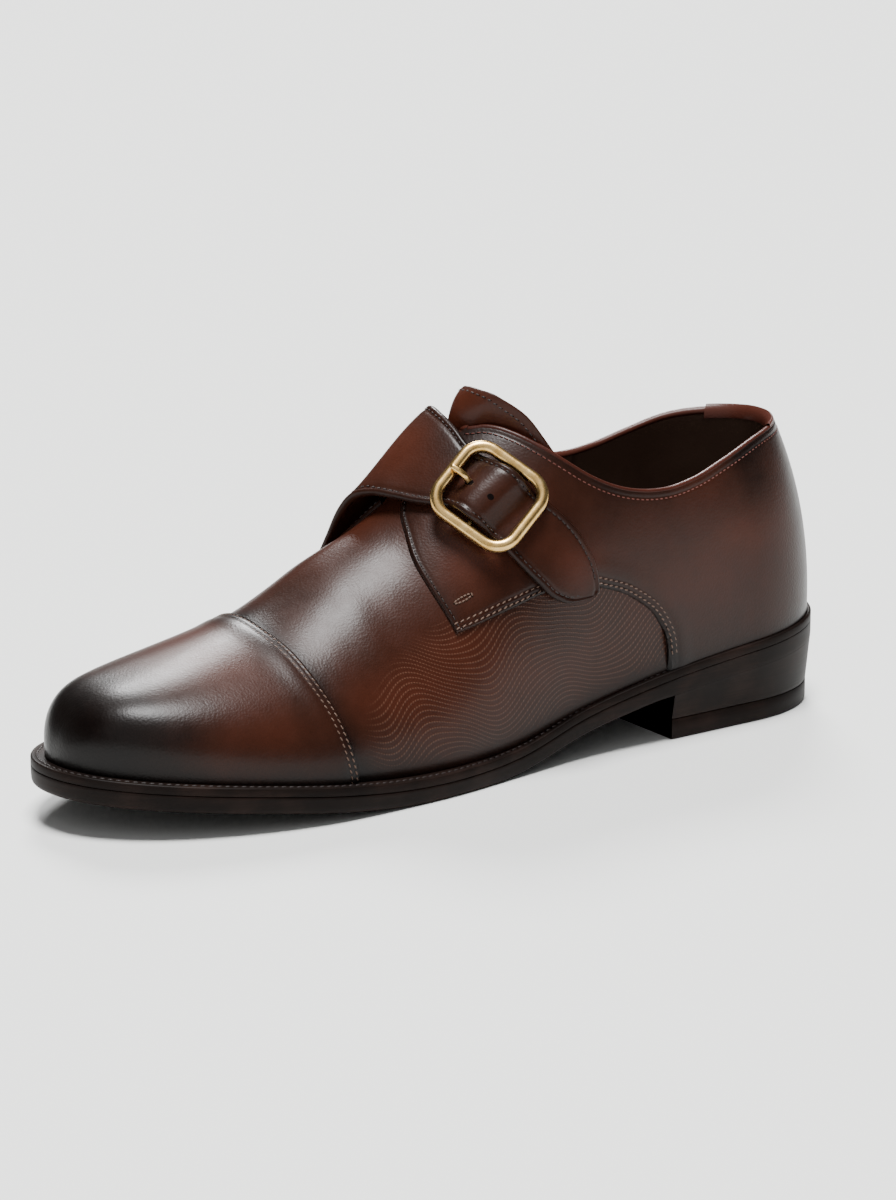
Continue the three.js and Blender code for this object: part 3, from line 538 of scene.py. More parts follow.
def walk(rows, count):
    """A smooth line of (share, girth) through rows, evenly spaced on the last."""
    rows = np.array(rows, float)
    length = run_of(rows * [LENGTH, HALF_GIRTH])
    length /= length[-1]
    t = share_of(np.linspace(0, 1, 3000))
    line = np.stack([curve(length, rows[:, 0])(t), curve(length, rows[:, 1])(t)], -1)
    return even(line, count)


def even(line, count):
    """The same line of (share, girth) with its points at even or given shares of its length on the last."""
    line[:, 0] = np.clip(line[:, 0], 0, 1)
    run = run_of(form(line[:, 0], line[:, 1]))
    run /= run[-1]
    at = np.linspace(0, 1, count) if np.isscalar(count) else count
    return np.stack([np.interp(at, run, line[:, 0]), np.interp(at, run, line[:, 1])], -1)


def join(*lines):
    """One line of lines that each begin where the last one ends."""
    return np.concatenate([lines[0]] + [line[1:] for line in lines[1:]])


def filled(bottom, front, top, back, u, w):
    """The grid inside four lines that are sampled at u and w."""
    U, W = u[None, :, None], w[:, None, None]
    across = (1 - W) * bottom[None] + W * top[None]
    along = (1 - U) * back[:, None] + U * front[:, None]
    corners = ((1 - U) * (1 - W) * bottom[0] + U * (1 - W) * bottom[-1]
               + (1 - U) * W * top[0] + U * W * top[-1])
    return across + along - corners


def top_line(side, end):
    """The top edge of one side, from the back of the heel to a girth near the crest."""
    share = np.concatenate([0.20 * np.linspace(0, 1, 300) ** 2, np.linspace(0.20, 0.46, 900)[1:]])
    girth = 1 - top_edge_up(share)
    keep = girth > end
    return np.stack([share[keep], side * girth[keep]], -1)


def quarter(name, side, lower, front):
    """One quarter, from its lower seam and its front edge."""
    u = fine_ends(260, False, True, 0.02, 9)
    w = fine_ends(120, True, True, 0.05, 14)
    lower_line = walk(lower, 1200)
    welt_line = np.stack([lower[0][0] * np.linspace(0, 1, 600) ** 2, np.full(600, side * 1.0)], -1)
    front_line = walk(front, w)
    rim_line = top_line(side, 0.05)
    crest = np.linspace(rim_line[-1], front[-1], 200)
    bottom = even(join(welt_line, lower_line), u)
    top = even(join(rim_line, crest), u)
    back = np.stack([np.zeros(len(w)), side * np.interp(w, [0, 1], [1.0, abs(rim_line[0, 1])])], -1)
    grid = filled(bottom, front_line, top, back, u, w)
    share, girth = np.clip(grid[..., 0], 0, 1), np.clip(grid[..., 1] * side, 0, 1) * side
    bare = form(share, girth)
    low, ahead, above = (distance_to(bare, form(*line.T))
                         for line in (walk(lower, 700), walk(front, 500), rim_line))
    edge = np.minimum(low, ahead)
    rim_height = -0.5 + (OVERLAY + 0.5) * rounding(above, 1.5)
    height = np.where(above < 3, np.minimum(folded(edge), rim_height), folded(edge))
    height += pulled(low, LOWER_ROWS) * (ahead > 2) + pulled(ahead, (FRONT_ROW,)) * (low > 1)
    height += pulled(above, (RIM_ROW,), 0.16)
    point = tuck(form(share, girth, height), girth)
    mark = marks_of(bare, share)
    mark["patina"] -= 0.26 * np.exp(-edge / 3.5) + 0.20 * np.exp(-above / 4) + 0.10 * np.exp(-above / 20)
    obj = piece(name, point, quads(*share.shape, flip=side > 0), burnished_calf, mark)


# The seams as stations and how far up the section, or for the inner lower one the height over the floor.
outer_lower = [(s / LENGTH, 1 - v) for s, v in [
    (77, 0), (77.8, .035), (81.9, .081), (93.8, .147), (106.2, .193), (116.1, .232), (129.9, .282),
    (146.6, .328), (164.3, .386)]]
outer_front = [(s / LENGTH, 1 - v) for s, v in [
    (164.3, .386), (166.1, .459), (168, .548), (168.9, .676), (167, .772), (164.3, .865), (161.5, .91),
    (159, .95)]]
inner_lower = [(s / LENGTH, float(up_at(s / LENGTH, z)) - 1) for s, z in [
    (80.5, 20), (82.3, 34), (87.3, 45), (97.7, 57), (111, 62), (127.3, 61.5), (145, 57.5), (165.8, 51),
    (184.1, 45.5)]]
inner_front = [(s / LENGTH, v - 1) for s, v in [
    (184.1, 1 + inner_lower[-1][1]), (182.6, .46), (180.9, .54), (179.4, .62), (176, .72), (171, .82),
    (165, .95)]]
quarter("outer_quarter", 1, outer_lower, outer_front)
quarter("inner_quarter", -1, inner_lower, inner_front)

# Lining
# Thin calf glued inside the upper, in two parts that overlap in a seam behind the instep.
# At the top edge it turns out over the rim as a fine reddish bead.
lining_leather = calf("lining_leather", 1700.0, [(0.0, "#2c1f1a"), (0.5, "#564237"), (1.0, "#705a4e")])
bead_leather = calf("bead_leather", 1700.0, [(0.0, "#200e0a"), (0.5, "#381a13"), (1.0, "#522a20")])
for side, name in ((1, "outer_lining"), (-1, "inner_lining")):
    share = np.concatenate([0.16 * np.linspace(0, 1, 40) ** 2, np.linspace(0.16, 0.85, 150)[1:]])[:, None]
    top = top_edge_up(share)
    girth = side * (1 - np.linspace(0.0, 1, 70)[None, :] * top)
    overlap = 0.5 * soft_step(share * LENGTH, 70.5, 71.5)
    point = form(share, girth, -1.9 + overlap + 0 * girth)
    seam_shade = 0.4 * np.exp(-((share * LENGTH - 70.2) / .8) ** 2)
    mark = marks_of(point, share, patina=0.5 - seam_shade + 0 * girth)
    lining = piece(name, point, quads(*point.shape[:2], flip=side < 0), lining_leather, mark)

outer_rim, inner_rim = top_line(1, 0.0), top_line(-1, 0.0)
rim = even(np.concatenate([outer_rim, [[float(throat_share(np.array(0.0))), 0.0]], inner_rim[::-1]]), 700)
rim_point = form(rim[:, 0], rim[:, 1])
out = unit(form(rim[:, 0], rim[:, 1], 1.0) - rim_point)
rim_point[0] = rim_point[-1] = (rim_point[0] + rim_point[-1]) / 2
tangent = np.gradient(rim_point, axis=0)
tangent[0] = tangent[-1] = [tangent[1, 0], 0, 0]
over = unit(np.cross(out, unit(tangent)))
over *= np.sign(over[:, 2:3] + 1e-9)
angle = np.linspace(0, 2 * np.pi, 20, endpoint=False)[None, :, None]
bead = (rim_point[:, None] + out[:, None] * (-0.35 + 1.62 * np.cos(angle))
        + over[:, None] * (-0.35 + 1.15 * np.sin(angle)))
# The bead is painted lighter on its upper side and darker below: painted highlight and painted shade.
mark = {"patina": np.full(bead.shape[:2], 0.55) + 0.2 * np.sin(angle[..., 0])}
bead = piece("top_bead", bead, quads(700, 20, loop=True), bead_leather, mark)

# Back strip
# A narrow strip of calf sewn over the seam at the back of the heel, under a short folded tab.
columns, rows = 24, 60
across = np.linspace(-1, 1, columns)[None, :]
run = np.linspace(0, 1, rows)[:, None]
reach = np.abs(across) * (0.55 + 0.45 * run) * 4.5 / (last["lateral"][0] * BALL)
share = HEEL_ROUND / LENGTH * (1 - (1 - reach ** 2.2) ** (1 / 2.2))
up = 0.40 + (top_edge_up(0.0) - 0.425) * run
girth = np.where(across < 0, -1, 1) * (1 - up) + 0 * share
flat = np.sqrt(np.clip(1 - np.abs(across) ** 6, 0, 1))
height = OVERLAY - 0.2 + 1.2 * flat * np.clip(run * 14, 0, 1) ** .5
point = form(share, girth, height)
mark = marks_of(form(share, girth), share)
mark["patina"] = 0.12 + 0.1 * run + 0 * share
strip = piece("back_strip_cover", point, quads(rows, columns, flip=True), burnished_calf, mark)
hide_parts("back_strip")
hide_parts("upper")

# The fold of thin leather over the rim, which ends in a corner on each side of the back.
tab_reach = 0.045
tab_share = tab_reach * np.linspace(-1, 1, 90)[:, None]
tab_run = np.linspace(0, 1, 16)[None, :]
side = np.where(tab_share < 0, -1, 1)
share = np.abs(tab_share) ** 1.8 / tab_reach ** 0.8 + 0 * tab_run
turn_over = np.pi * tab_run
drop = 0.9 * np.clip(np.abs(turn_over - np.pi / 2) - 0.6, 0, 1)
point = form(share, side * (1 - top_edge_up(share)), -0.5 + 2.0 * np.cos(turn_over))
point[..., 2] += 1.45 * np.sin(turn_over) - drop
# Painted highlight: the fold is lighter along its top, where it turns over the rim.
mark = {"patina": 0.62 + 0.14 * np.sin(turn_over) + 0 * share}
tab_fold = piece("heel_fold", point, quads(90, 16), bead_leather, mark)

# Tongue
# A flap of calf sewn under the throat of the vamp. It rises behind the strap and wraps the instep.

tongue_edge = 0.40
tongue_top = curve([0, .06, .13, .23, .33, .40], [.432, .429, .421, .408, .397, .388])


def tongue_point(run, girth, depth):
    """A point of the tongue: run is 0 at its root and 1 at its free edge."""
    root = 0.565
    share = root + (tongue_top(np.abs(girth)) - root) * run ** 0.6
    early = np.exp(-(girth / 0.085) ** 2)
    mouth = throat_share(girth) - 0.7 / LENGTH + 0.016 * early
    rise = np.clip((mouth - share) * LENGTH / (10.5 + 3.5 * early), 0, 1)
    crown = (1 - (np.abs(girth) / tongue_edge) ** 2.4) * (1 - 0.24 * soft_step(-girth, -0.03, 0.13))
    height = -WALL - LINING + 11.8 * crown * np.sin(rise * np.pi / 2)
    return skin(share, girth, height - depth), share


def both_sides(front, back=None):
    """Each row of an outer face, followed by its inner face or by itself on the way back."""
    return np.concatenate([front, (front if back is None else back)[:, ::-1]], axis=1)


def flap_faces(both, flip=False):
    """The faces of a flap with an outer and an inner side, closed at its free end."""
    n, m = both.shape[:2]
    last_row, j = (n - 1) * m, np.arange(m // 2 - 1)
    end = last_row + np.stack([j, j + 1, m - 2 - j, m - 1 - j], -1)
    return np.concatenate([quads(n, m, flip=flip, loop=True), end])


girth = tongue_edge * np.linspace(-1, 1, 120)[None, :]
run = fine_ends(90, False, True, 0.05, 9)[:, None]
rounded = 0.9 * (1 - rounding(1 - run, 0.03))
outer_face, share = tongue_point(run, girth, rounded)
inner_face, _ = tongue_point(run, girth, 1.8 - rounded)
both = both_sides(outer_face, inner_face)
mark = marks_of(both, both_sides(share))
top_gap = (1 - run) * 60
# The tongue's face is raised to a light tone of 0.78 as a painted highlight; it is darker near its free edge.
mark["patina"] = 0.78 - 0.30 * np.exp(-top_gap / 5) + 0 * both[..., 0]
tongue = piece("tongue_flap", both, flap_faces(both, flip=True), burnished_calf, mark)
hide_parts("tongue")

# Monk strap
# One piece with the inner quarter in the real shoe: calf over a stiffener, folded at the edge and sewn
# all round. It crosses the instep over the tongue, goes through the buckle and lies on the outer quarter.
strap_rows = {
    "girth": [-.40, -.30, -.20, -.10, 0, .10, .20, .26, .29, .32, .355, .385, .415, .44, .47, .52, .60, .68,
              .74, .78, .80],
    "upper": [.448, .452, .457, .462, .467, .470, .471, .466, .4615, .457, .451, .446, .4415, .4375, .4315,
              .4205, .401, .384, .374, .371, .371],
    "lower": [.606, .598, .586, .572, .560, .550, .5375, .526, .520, .516, .511, .5075, .503, .499, .494,
              .4845, .469, .450, .432, .410, .388],
    "lift":  [0.4, 2.6, 5.4, 6.9, 5.0, 3.0, 2.2, 2.1, 2.9, 4.4, 5.8, 6.1, 5.4, 3.7, 1.75, 1.8, 1.8, 1.8,
              1.8, 1.8, 1.8],
}
strap_at = {name: curve(strap_rows["girth"], strap_rows[name]) for name in ("upper", "lower", "lift")}
root, bend, shoulder, tip = -0.52, 0.70, 0.795, 0.803


def strap_height(girth):
    """The height of the strap's outer face, and its thickness; at the root it runs flush into the quarter."""
    thick = 1.4 + 1.2 * np.clip((girth + 0.40) / 0.2, 0, 1)
    free = strap_at["lift"](np.maximum(girth, -0.40)) + thick
    flush = OVERLAY + 0.04
    return np.where(girth < -0.40, flush + (1.8 - flush) * soft_step(girth, -0.50, -0.40), free), thick


girth = np.concatenate([np.linspace(root, bend, 300),
                        bend + (tip - bend) * np.sin(np.linspace(0, np.pi / 2, 60))[1:]])[:, None]
slant = fine_ends(46, True, True, 0.12, 9)[None, :]
upper_share, lower_share = strap_at["upper"](girth), strap_at["lower"](girth)
share = upper_share + (lower_share - upper_share) * slant
end = np.maximum(rounding(tip - girth, tip - shoulder), math.sqrt(0.02))
middle = 0.85 * upper_share + 0.15 * lower_share
share = middle + (share - middle) * end
bare = form(share, girth)
outer_height, thick = strap_height(girth)
width = (lower_share - upper_share) * LENGTH * end
side_gap = np.minimum(slant, 1 - slant) * np.abs(width)
gap = np.minimum(side_gap, np.linalg.norm(bare - bare[-1:], axis=-1))
free = np.clip((girth + 0.44) / 0.2, 0, 1)
drop = thick / 2 * (1 - rounding(gap, 1.1)) * free
groove = pulled(gap, (2.1,), 0.25, 0.6) + 0.14 * np.exp(-((gap - 1.1) / 0.6) ** 2) * free
both = both_sides(skin(share, girth, outer_height - drop + groove),
                  skin(share, girth, outer_height - thick + drop))
mark = marks_of(both_sides(bare), both_sides(share))
mark["patina"] -= 0.24 * np.exp(-both_sides(gap) / 3) * free
strap = piece("instep_strap", both, flap_faces(both), burnished_calf, mark)
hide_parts("monk_strap")

# Buckle
# A cast brass frame with rounded corners, brushed and waxed, and a short brass prong on its centre bar.
# Satin brass: the polishing lines run round the bar and soften the highlight.
brass, tree, shader = surface("satin_brass", Metallic=1.0)
place = add(tree, "ShaderNodeTexCoord").outputs["Object"]
cloud = add(tree, "ShaderNodeTexNoise", {"Scale": 300.0, "Detail": 4.0}, {"Vector": place})
colour = add(tree, "ShaderNodeValToRGB", links={"Fac": cloud.outputs["Fac"]},
             stops=[(0.25, "#b8914f"), (0.6, "#d8b476"), (0.85, "#e8cd98")])
tree.links.new(colour.outputs["Color"], shader.inputs["Base Color"])
scratch = add(tree, "ShaderNodeTexNoise", {"Scale": 2600.0, "Detail": 3.0}, {"Vector": place})
gloss = add(tree, "ShaderNodeMapRange", {"To Min": 0.22, "To Max": 0.36}, {"Value": scratch.outputs["Fac"]})
tree.links.new(gloss.outputs["Result"], shader.inputs["Roughness"])
bump = add(tree, "ShaderNodeBump", {"Strength": 0.08, "Distance": 0.0001},
           {"Height": scratch.outputs["Fac"]})
tree.links.new(bump.outputs["Normal"], shader.inputs["Normal"])

buckle_girth, buckle_share, stand, pin_drop = 0.387, 0.479, 5.1, 1.6
seat = skin(buckle_share, buckle_girth, 0.0)
out = skin(buckle_share, buckle_girth, 1.0) - seat


def strap_middle(girth):
    """The place on the last under the middle of the strap."""
    return skin((strap_at["upper"](girth) + strap_at["lower"](girth)) / 2, girth, 0.0)


along = strap_middle(buckle_girth + 0.12) - strap_middle(buckle_girth - 0.12)
along = unit(along - out * (along @ out))
across = np.cross(out, along)
centre = seat + out * stand


def in_buckle(a, b, c):
    """A point by the buckle's own axes: along the strap, across it and away from the foot."""
    a, b, c = np.broadcast_arrays(*(np.asarray(v, float) for v in (a, b, c)))
    return centre + a[..., None] * along + b[..., None] * across + c[..., None] * out


# The frame's path round its middle line: four round corners, each followed by a straight side.
FRAME_LONG, FRAME_WIDE, CORNER, BAR = 30.5, 28.5, 7.5, 2.1
corner_steps, side_steps, bar_steps = 24, 8, 28
corners = np.array([[1, 1], [-1, 1], [-1, -1], [1, -1]]) * [FRAME_LONG / 2 - CORNER, FRAME_WIDE / 2 - CORNER]
moved = np.append(np.zeros(corner_steps), np.arange(1, side_steps) / side_steps)[:, None]
path, path_angle = [], []
for k in range(4):
    angle = np.append(np.linspace(k, k + 1, corner_steps), np.full(side_steps - 1, k + 1)) * np.pi / 2
    middle = corners[k] + (corners[(k + 1) % 4] - corners[k]) * moved
    path.append(middle + CORNER * np.stack([np.cos(angle), np.sin(angle)], -1))
    path_angle.append(angle)
path, path_angle = np.concatenate(path), np.concatenate(path_angle)[:, None]
round_angle = np.linspace(0, 2 * np.pi, bar_steps, endpoint=False)[None, :]
bar_out, bar_up = (BAR * np.sign(swing) * np.abs(swing) ** 0.9
                   for swing in (np.sin(round_angle), np.cos(round_angle)))
ring = in_buckle(path[:, :1] + bar_out * np.cos(path_angle),
                 path[:, 1:] + bar_out * np.sin(path_angle), bar_up)
frame_piece = piece("buckle_ring", ring[np.r_[0:len(ring), 0]],
                    quads(len(ring) + 1, bar_steps, loop=True), brass)
pin_b = np.linspace(-13, 13, 9)[:, None]
pin = in_buckle(0.9 * np.sin(round_angle), pin_b, 0.9 * np.cos(round_angle) - pin_drop)
pin_piece = piece("centre_bar", pin, quads(9, bar_steps, flip=True, loop=True), brass)
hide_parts("buckle_frame")

prong_run = np.linspace(0, 1, 7)
prong_a = curve(prong_run, [-1.7, -4.4, -7.0, -9.0, -10.6, -12.8, -16.2])
prong_c = curve(prong_run, [-1.6, -1.85, -1.1, 1.1, 2.7, 3.4, 3.45])
t = np.linspace(0, 1, 60)[:, None]
slope = unit(np.stack([np.gradient(prong_a(t[:, 0])), np.gradient(prong_c(t[:, 0]))], -1))
slope_a, slope_c = slope[:, :1], slope[:, 1:]
girdle = rounding(1 - t, 0.05)
wide_bar, thick_bar = 1.15 * girdle * np.sin(round_angle), 0.95 * girdle * np.cos(round_angle)
rod = in_buckle(prong_a(t) - slope_c * thick_bar, wide_bar, prong_c(t) + slope_a * thick_bar)
prong = piece("prong", rod, quads(60, bar_steps, flip=True, loop=True), brass)
loop_b = np.array([-1.3, -1.1, 1.1, 1.3])[:, None]
loop_r = np.array([1.75, 1.9, 1.9, 1.75])[:, None]
eye = in_buckle(loop_r * np.sin(round_angle), loop_b, loop_r * np.cos(round_angle) - pin_drop)
eye_piece = piece("prong_eye", eye, quads(4, bar_steps, flip=True, loop=True), brass)
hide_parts("buckle_prong")

# The tab that holds the buckle keeps its solid and gets the calf's finish.
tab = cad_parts["buckle_tab"]
tab.data.materials.clear()
tab.data.materials.append(lining_leather)

# Welt
# A strip of oak-bark leather sewn round the edge of the upper, with its outer edge proud of the sole.
# Its edge is waxed nearly black and a fine row of stitches runs on it.
edge_leather, tree, shader = surface("waxed_sole_edge", IOR=1.18)
place = add(tree, "ShaderNodeTexCoord").outputs["Object"]
layers = add(tree, "ShaderNodeMapping", {"Scale": (30.0, 30.0, 900.0)}, {"Vector": place})
fibre = add(tree, "ShaderNodeTexNoise", {"Scale": 1.0, "Detail": 5.0, "Roughness": 0.6},
            {"Vector": layers.outputs[0]})
cloud = add(tree, "ShaderNodeTexNoise", {"Scale": 60.0, "Detail": 3.0}, {"Vector": place})
mixed = add(tree, "ShaderNodeMath", {1: 0.5}, {0: fibre.outputs["Fac"], 2: cloud.outputs["Fac"]},
            operation="MULTIPLY_ADD")
colour = add(tree, "ShaderNodeValToRGB", links={"Fac": mixed.outputs[0]},
             stops=[(0.45, "#0c0706"), (0.75, "#140d0a"), (1.0, "#221713")])
tree.links.new(colour.outputs["Color"], shader.inputs["Base Color"])
gloss = add(tree, "ShaderNodeMapRange", {"To Min": 0.42, "To Max": 0.56}, {"Value": fibre.outputs["Fac"]})
tree.links.new(gloss.outputs["Result"], shader.inputs["Roughness"])
bump = add(tree, "ShaderNodeBump", {"Strength": 0.2, "Distance": 0.0002}, {"Height": fibre.outputs["Fac"]})
tree.links.new(bump.outputs["Normal"], shader.inputs["Normal"])

WELT, SOLE = 3.0, 5.6

# The section of the strip: how much of the margin and how many millimetres outwards, and the height.
welt_profile = np.array([
    (0, -9.0, 0.0), (0, -1.5, 0.0), (0, 0.4, -0.05), (1, -2.9, -0.05), (1, -2.2, -0.30), (1, -1.7, -0.05),
    (1, -0.7, 0.0), (1, -0.25, -0.12), (1, 0, -0.55), (1, 0, -2.9), (1, -0.25, -3.05), (1, -0.6, -3.05),
    (0, -9.0, -3.05)])
round_turns = np.concatenate([np.linspace(0, 1, 260), np.linspace(1, 0, 260)[1:-1]])
round_sides = np.concatenate([np.ones(260), -np.ones(258)])
rings = []
for turn, side in zip(round_turns, round_sides):
    outwards = welt_profile[:, 0] * margin_at(share_of(turn)) + welt_profile[:, 1]
    x, share = outline(np.full(len(welt_profile), turn), side, outwards)
    rings.append(np.stack([x, HEEL_Y - share * LENGTH, floor_at(share) + welt_profile[:, 2]], -1))
rings.append(rings[0])
welt = piece("welt_strip", np.array(rings), quads(len(rings), len(welt_profile), flip=True, loop=True),
             edge_leather, smooth=50)
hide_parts("welt")

# Outsole
# One leather sole sewn to the welt, with a level tread under the ball and a rounded, waxed edge.
# Its underside is dyed dark brown and lightly scuffed.


def slab_loops(turns, edge, top_height, bottom_height, over_heel=1.0):
    """Closed loops across the sole at each turn: over the top, round one edge, under and up the other.

    Over the heel the edge keeps only a part of its rounding, so that sole and heel run into each other.
    """
    loops = []
    for turn in turns:
        station = share_of(turn) * LENGTH
        full = over_heel + (1 - over_heel) * soft_step(station, 72, 84)
        loop = []
        for side in (1, -1):
            outwards, up = np.array(edge if side > 0 else edge[::-1]).T
            outwards = margin_at(station / LENGTH) + outwards * full
            x, share = outline(np.full(len(edge), turn), float(side), outwards)
            high, low = top_height(share), bottom_height(share)
            loop.append(np.stack([x, HEEL_Y - share * LENGTH, low + (high - low) * up], -1))
        outer, inner = loop
        across = np.linspace(0, 1, 14)[1:-1, None]
        under = outer[-1] + (inner[0] - outer[-1]) * across
        above = inner[-1] + (outer[0] - inner[-1]) * across
        loops.append(np.concatenate([outer, under, inner, above]))
    return np.array(loops)


def sole_top(share):
    """The height of the sole's upper side, which lies against the welt."""
    return floor_at(share) - WELT - 0.1


def sole_bottom(share):
    """The height of the sole's underside, level where it treads."""
    return np.maximum(sole_top(share) - 0.2 - SOLE, 0)


sole_edge = [(-0.6, 1.0), (-0.2, 0.99), (-0.02, 0.95), (-0.02, 0.8), (-0.06, 0.5), (-0.18, 0.22),
             (-0.42, 0.08), (-0.9, 0.0)]
loops = slab_loops(np.linspace(0, 1, 260), sole_edge, sole_top, sole_bottom, over_heel=0.15)
outsole = piece("leather_outsole", loops, quads(*loops.shape[:2], loop=True), edge_leather, smooth=50)
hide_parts("outsole")

# Heel
# A block of stacked leather lifts, trimmed to a slight taper and waxed, on a harder top lift.
HEEL_FRONT, LIFT_TOP = 75, 7.0
breast = math.acos(1 - 2 * HEEL_FRONT / LENGTH) / math.pi
heel_edge = ([(-0.14, 1.0), (-0.12, 0.98)]
             + [(-0.12 - 1.5 * (1 - t), t) for t in np.linspace(0.96, 0.02, 14)] + [(-1.8, 0.0)])
loops = slab_loops(np.linspace(0, breast, 120), heel_edge, lambda s: sole_bottom(s) - 0.02,
                   lambda s: LIFT_TOP + 0.15 + 0 * s)
heel = piece("stacked_heel", loops, quads(*loops.shape[:2], loop=True), edge_leather, smooth=50)
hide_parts("heel_stack")
lift_edge = [(-1.8, 1.0), (-1.6, 0.97), (-1.6, 0.15), (-1.68, 0.05), (-1.9, 0.0)]
loops = slab_loops(np.linspace(0, breast, 120), lift_edge, lambda s: LIFT_TOP + 0 * s, lambda s: 0 * s)
lift = piece("heel_lift", loops, quads(*loops.shape[:2], loop=True), edge_leather, smooth=50)
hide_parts("top_lift")

# Stitches
# Linen thread, waxed and pulled down into the leather, lock stitched about ten to the inch.
# Each stitch is a short length of thread that dips into its needle holes, which show as dark points of
# painted shade.


def thread(name, colour, sheen):
    """Waxed linen: a twist of two strands, drawn as a fine slanting ridge, with a soft sheen."""
    material, tree, shader = surface(name, **{"Base Color": linear(colour), "Roughness": sheen})
    place = add(tree, "ShaderNodeTexCoord").outputs["Object"]
    twist = add(tree, "ShaderNodeTexWave", {"Scale": 900.0, "Distortion": 1.0}, {"Vector": place},
                bands_direction="DIAGONAL")
    bump = add(tree, "ShaderNodeBump", {"Strength": 0.4, "Distance": 0.0001},
               {"Height": twist.outputs["Fac"]})
    tree.links.new(bump.outputs["Normal"], shader.inputs["Normal"])
    return material


dark_thread = thread("dark_linen_thread", "#1b0f0c", 0.55)
tan_thread = thread("tan_linen_thread", "#5c4538", 0.6)
red_thread = thread("red_brown_thread", "#5e2c22", 0.6)
# The raw leather inside a needle's hole, in deep shade.
needle_hole, tree, shader = surface("needle_hole", Roughness=0.85, IOR=1.15)
place = add(tree, "ShaderNodeTexCoord").outputs["Object"]
fibre = add(tree, "ShaderNodeTexNoise", {"Scale": 900.0, "Detail": 4.0}, {"Vector": place})
colour = add(tree, "ShaderNodeValToRGB", links={"Fac": fibre.outputs["Fac"]},
             stops=[(0.3, "#030101"), (0.8, "#0c0504")])
tree.links.new(colour.outputs["Color"], shader.inputs["Base Color"])

stitch_rows = {}


def sew(kind, line, out, step=2.3, length=1.75, radius=0.26, slant=0.0):
    """Places stitches along a line of points that lie on the leather, with the direction away from it."""
    run = run_of(line)
    count = int(run[-1] / step)
    at = (np.arange(count) + 0.5) * run[-1] / count

    def between(values, where):
        """The values at some lengths along the line."""
        return np.stack([np.interp(where, run, values[:, k]) for k in range(3)], -1)
    middle, away = between(line, at), unit(between(out, at))
    along = between(line, at + 0.3) - between(line, at - 0.3)
    along = unit(along - away * (along * away).sum(1, keepdims=True))
    beside = np.cross(away, along)
    along, beside = (along * math.cos(slant) + beside * math.sin(slant),
                     beside * math.cos(slant) - along * math.sin(slant))
    stitch_rows.setdefault(kind, []).append((middle, along, beside, away, length, radius))


def sewn(share, girth, height, kind, **sizes):
    """Sews along places of the last."""
    sew(kind, skin(share, girth, height), normal_at(share, girth), **sizes)


def beside_line(line, distance):
    """The places that lie a distance beside a line on the last; positive is to its left from outside."""
    place = form(line[:, 0], line[:, 1])
    left = np.cross(normal_at(line[:, 0], line[:, 1]), unit(np.gradient(place, axis=0)))
    return settle(place + left * distance, line[:, 0], line[:, 1])


cap_girth = np.linspace(-0.985, 0.985, 600)
cap_line = np.stack([seam_share(cap_girth), cap_girth], -1)
for distance in CAP_ROWS:
    sewn(*beside_line(cap_line, -distance), OVERLAY - 0.10, "tan", slant=0.25)
for side, lower, front in ((1, outer_lower, outer_front), (-1, inner_lower, inner_front)):
    for distance in LOWER_ROWS:
        share, girth = beside_line(walk(lower, 500), -side * distance)
        keep = np.abs(girth) < 0.985
        sewn(share[keep], girth[keep], OVERLAY - 0.10, "tan", slant=0.25 * side)
    share, girth = beside_line(walk(front, 500), -side * FRONT_ROW)
    sewn(share[12:], girth[12:], OVERLAY - 0.12, "dark")
    share, girth = beside_line(even(top_line(side, 0.06), 900), side * RIM_ROW)
    keep = share * LENGTH > 2.5
    sewn(share[keep], girth[keep], OVERLAY - 0.06, "red", step=2.0, length=1.5, radius=0.22)

# The strap's edges and tip, the tongue's edge and the bar tack at the corner of each quarter.
for edge_at, inward, last_girth in ((strap_at["upper"], 1, 0.77), (strap_at["lower"], -1, 0.79)):
    girth = np.linspace(-0.40, last_girth, 700)
    edge_line = np.stack([edge_at(girth), girth], -1)
    share, inner_girth = beside_line(edge_line, -inward * 2.1)
    sewn(share, inner_girth, strap_height(inner_girth)[0] - 0.14, "dark", step=2.2, length=1.6)
loop_turn = np.linspace(0, 2 * np.pi, 80)
for side, (s0, v0), (s1, v1) in ((1, (162.2, .462), (156.0, .442)), (-1, (179.6, .432), (173.6, .442))):
    along_tack = (1 - np.cos(loop_turn)) / 2
    share = ((1 - along_tack) * s0 + along_tack * s1) / LENGTH
    girth = side * (1 - ((1 - along_tack) * v0 + along_tack * v1 + 0.006 * np.sin(loop_turn)))
    sewn(share, girth, OVERLAY + 0.12, "tan", step=1.25, length=1.3, radius=0.3)
girth = np.linspace(-0.33, 0.33, 300)
face, _ = tongue_point(0.915, girth, 0.02)
below, _ = tongue_point(0.915, girth, 1.0)
sew("dark", face, face - below, step=2.2, length=1.5)

# The needle holes of the strap: the prong stands in one and the other is spare; each is a shallow dark disc
# of painted shade.
for name, a, b, wide in (("prong_hole", -8.2, -0.2, 1.5), ("spare_hole", 0.9, -1.0, 0.95)):
    ring = wide * np.array([0.0, 0.55, 0.85, 1.0, 1.25])[:, None]
    squeeze = 0.9 * wide ** -0.7
    place = in_buckle(a + ring * np.cos(round_angle), b + squeeze * ring * np.sin(round_angle), 0)
    share, girth = settle(place, buckle_share + 0 * place[..., 0], buckle_girth + 0 * place[..., 0], 7.5)
    lift = np.array([0.05, 0.05, 0.06, 0.10, -0.05])[:, None]
    hole = skin(share, girth, strap_height(girth)[0] + lift)
    obj = piece(name, hole, quads(5, bar_steps, loop=True), needle_hole)

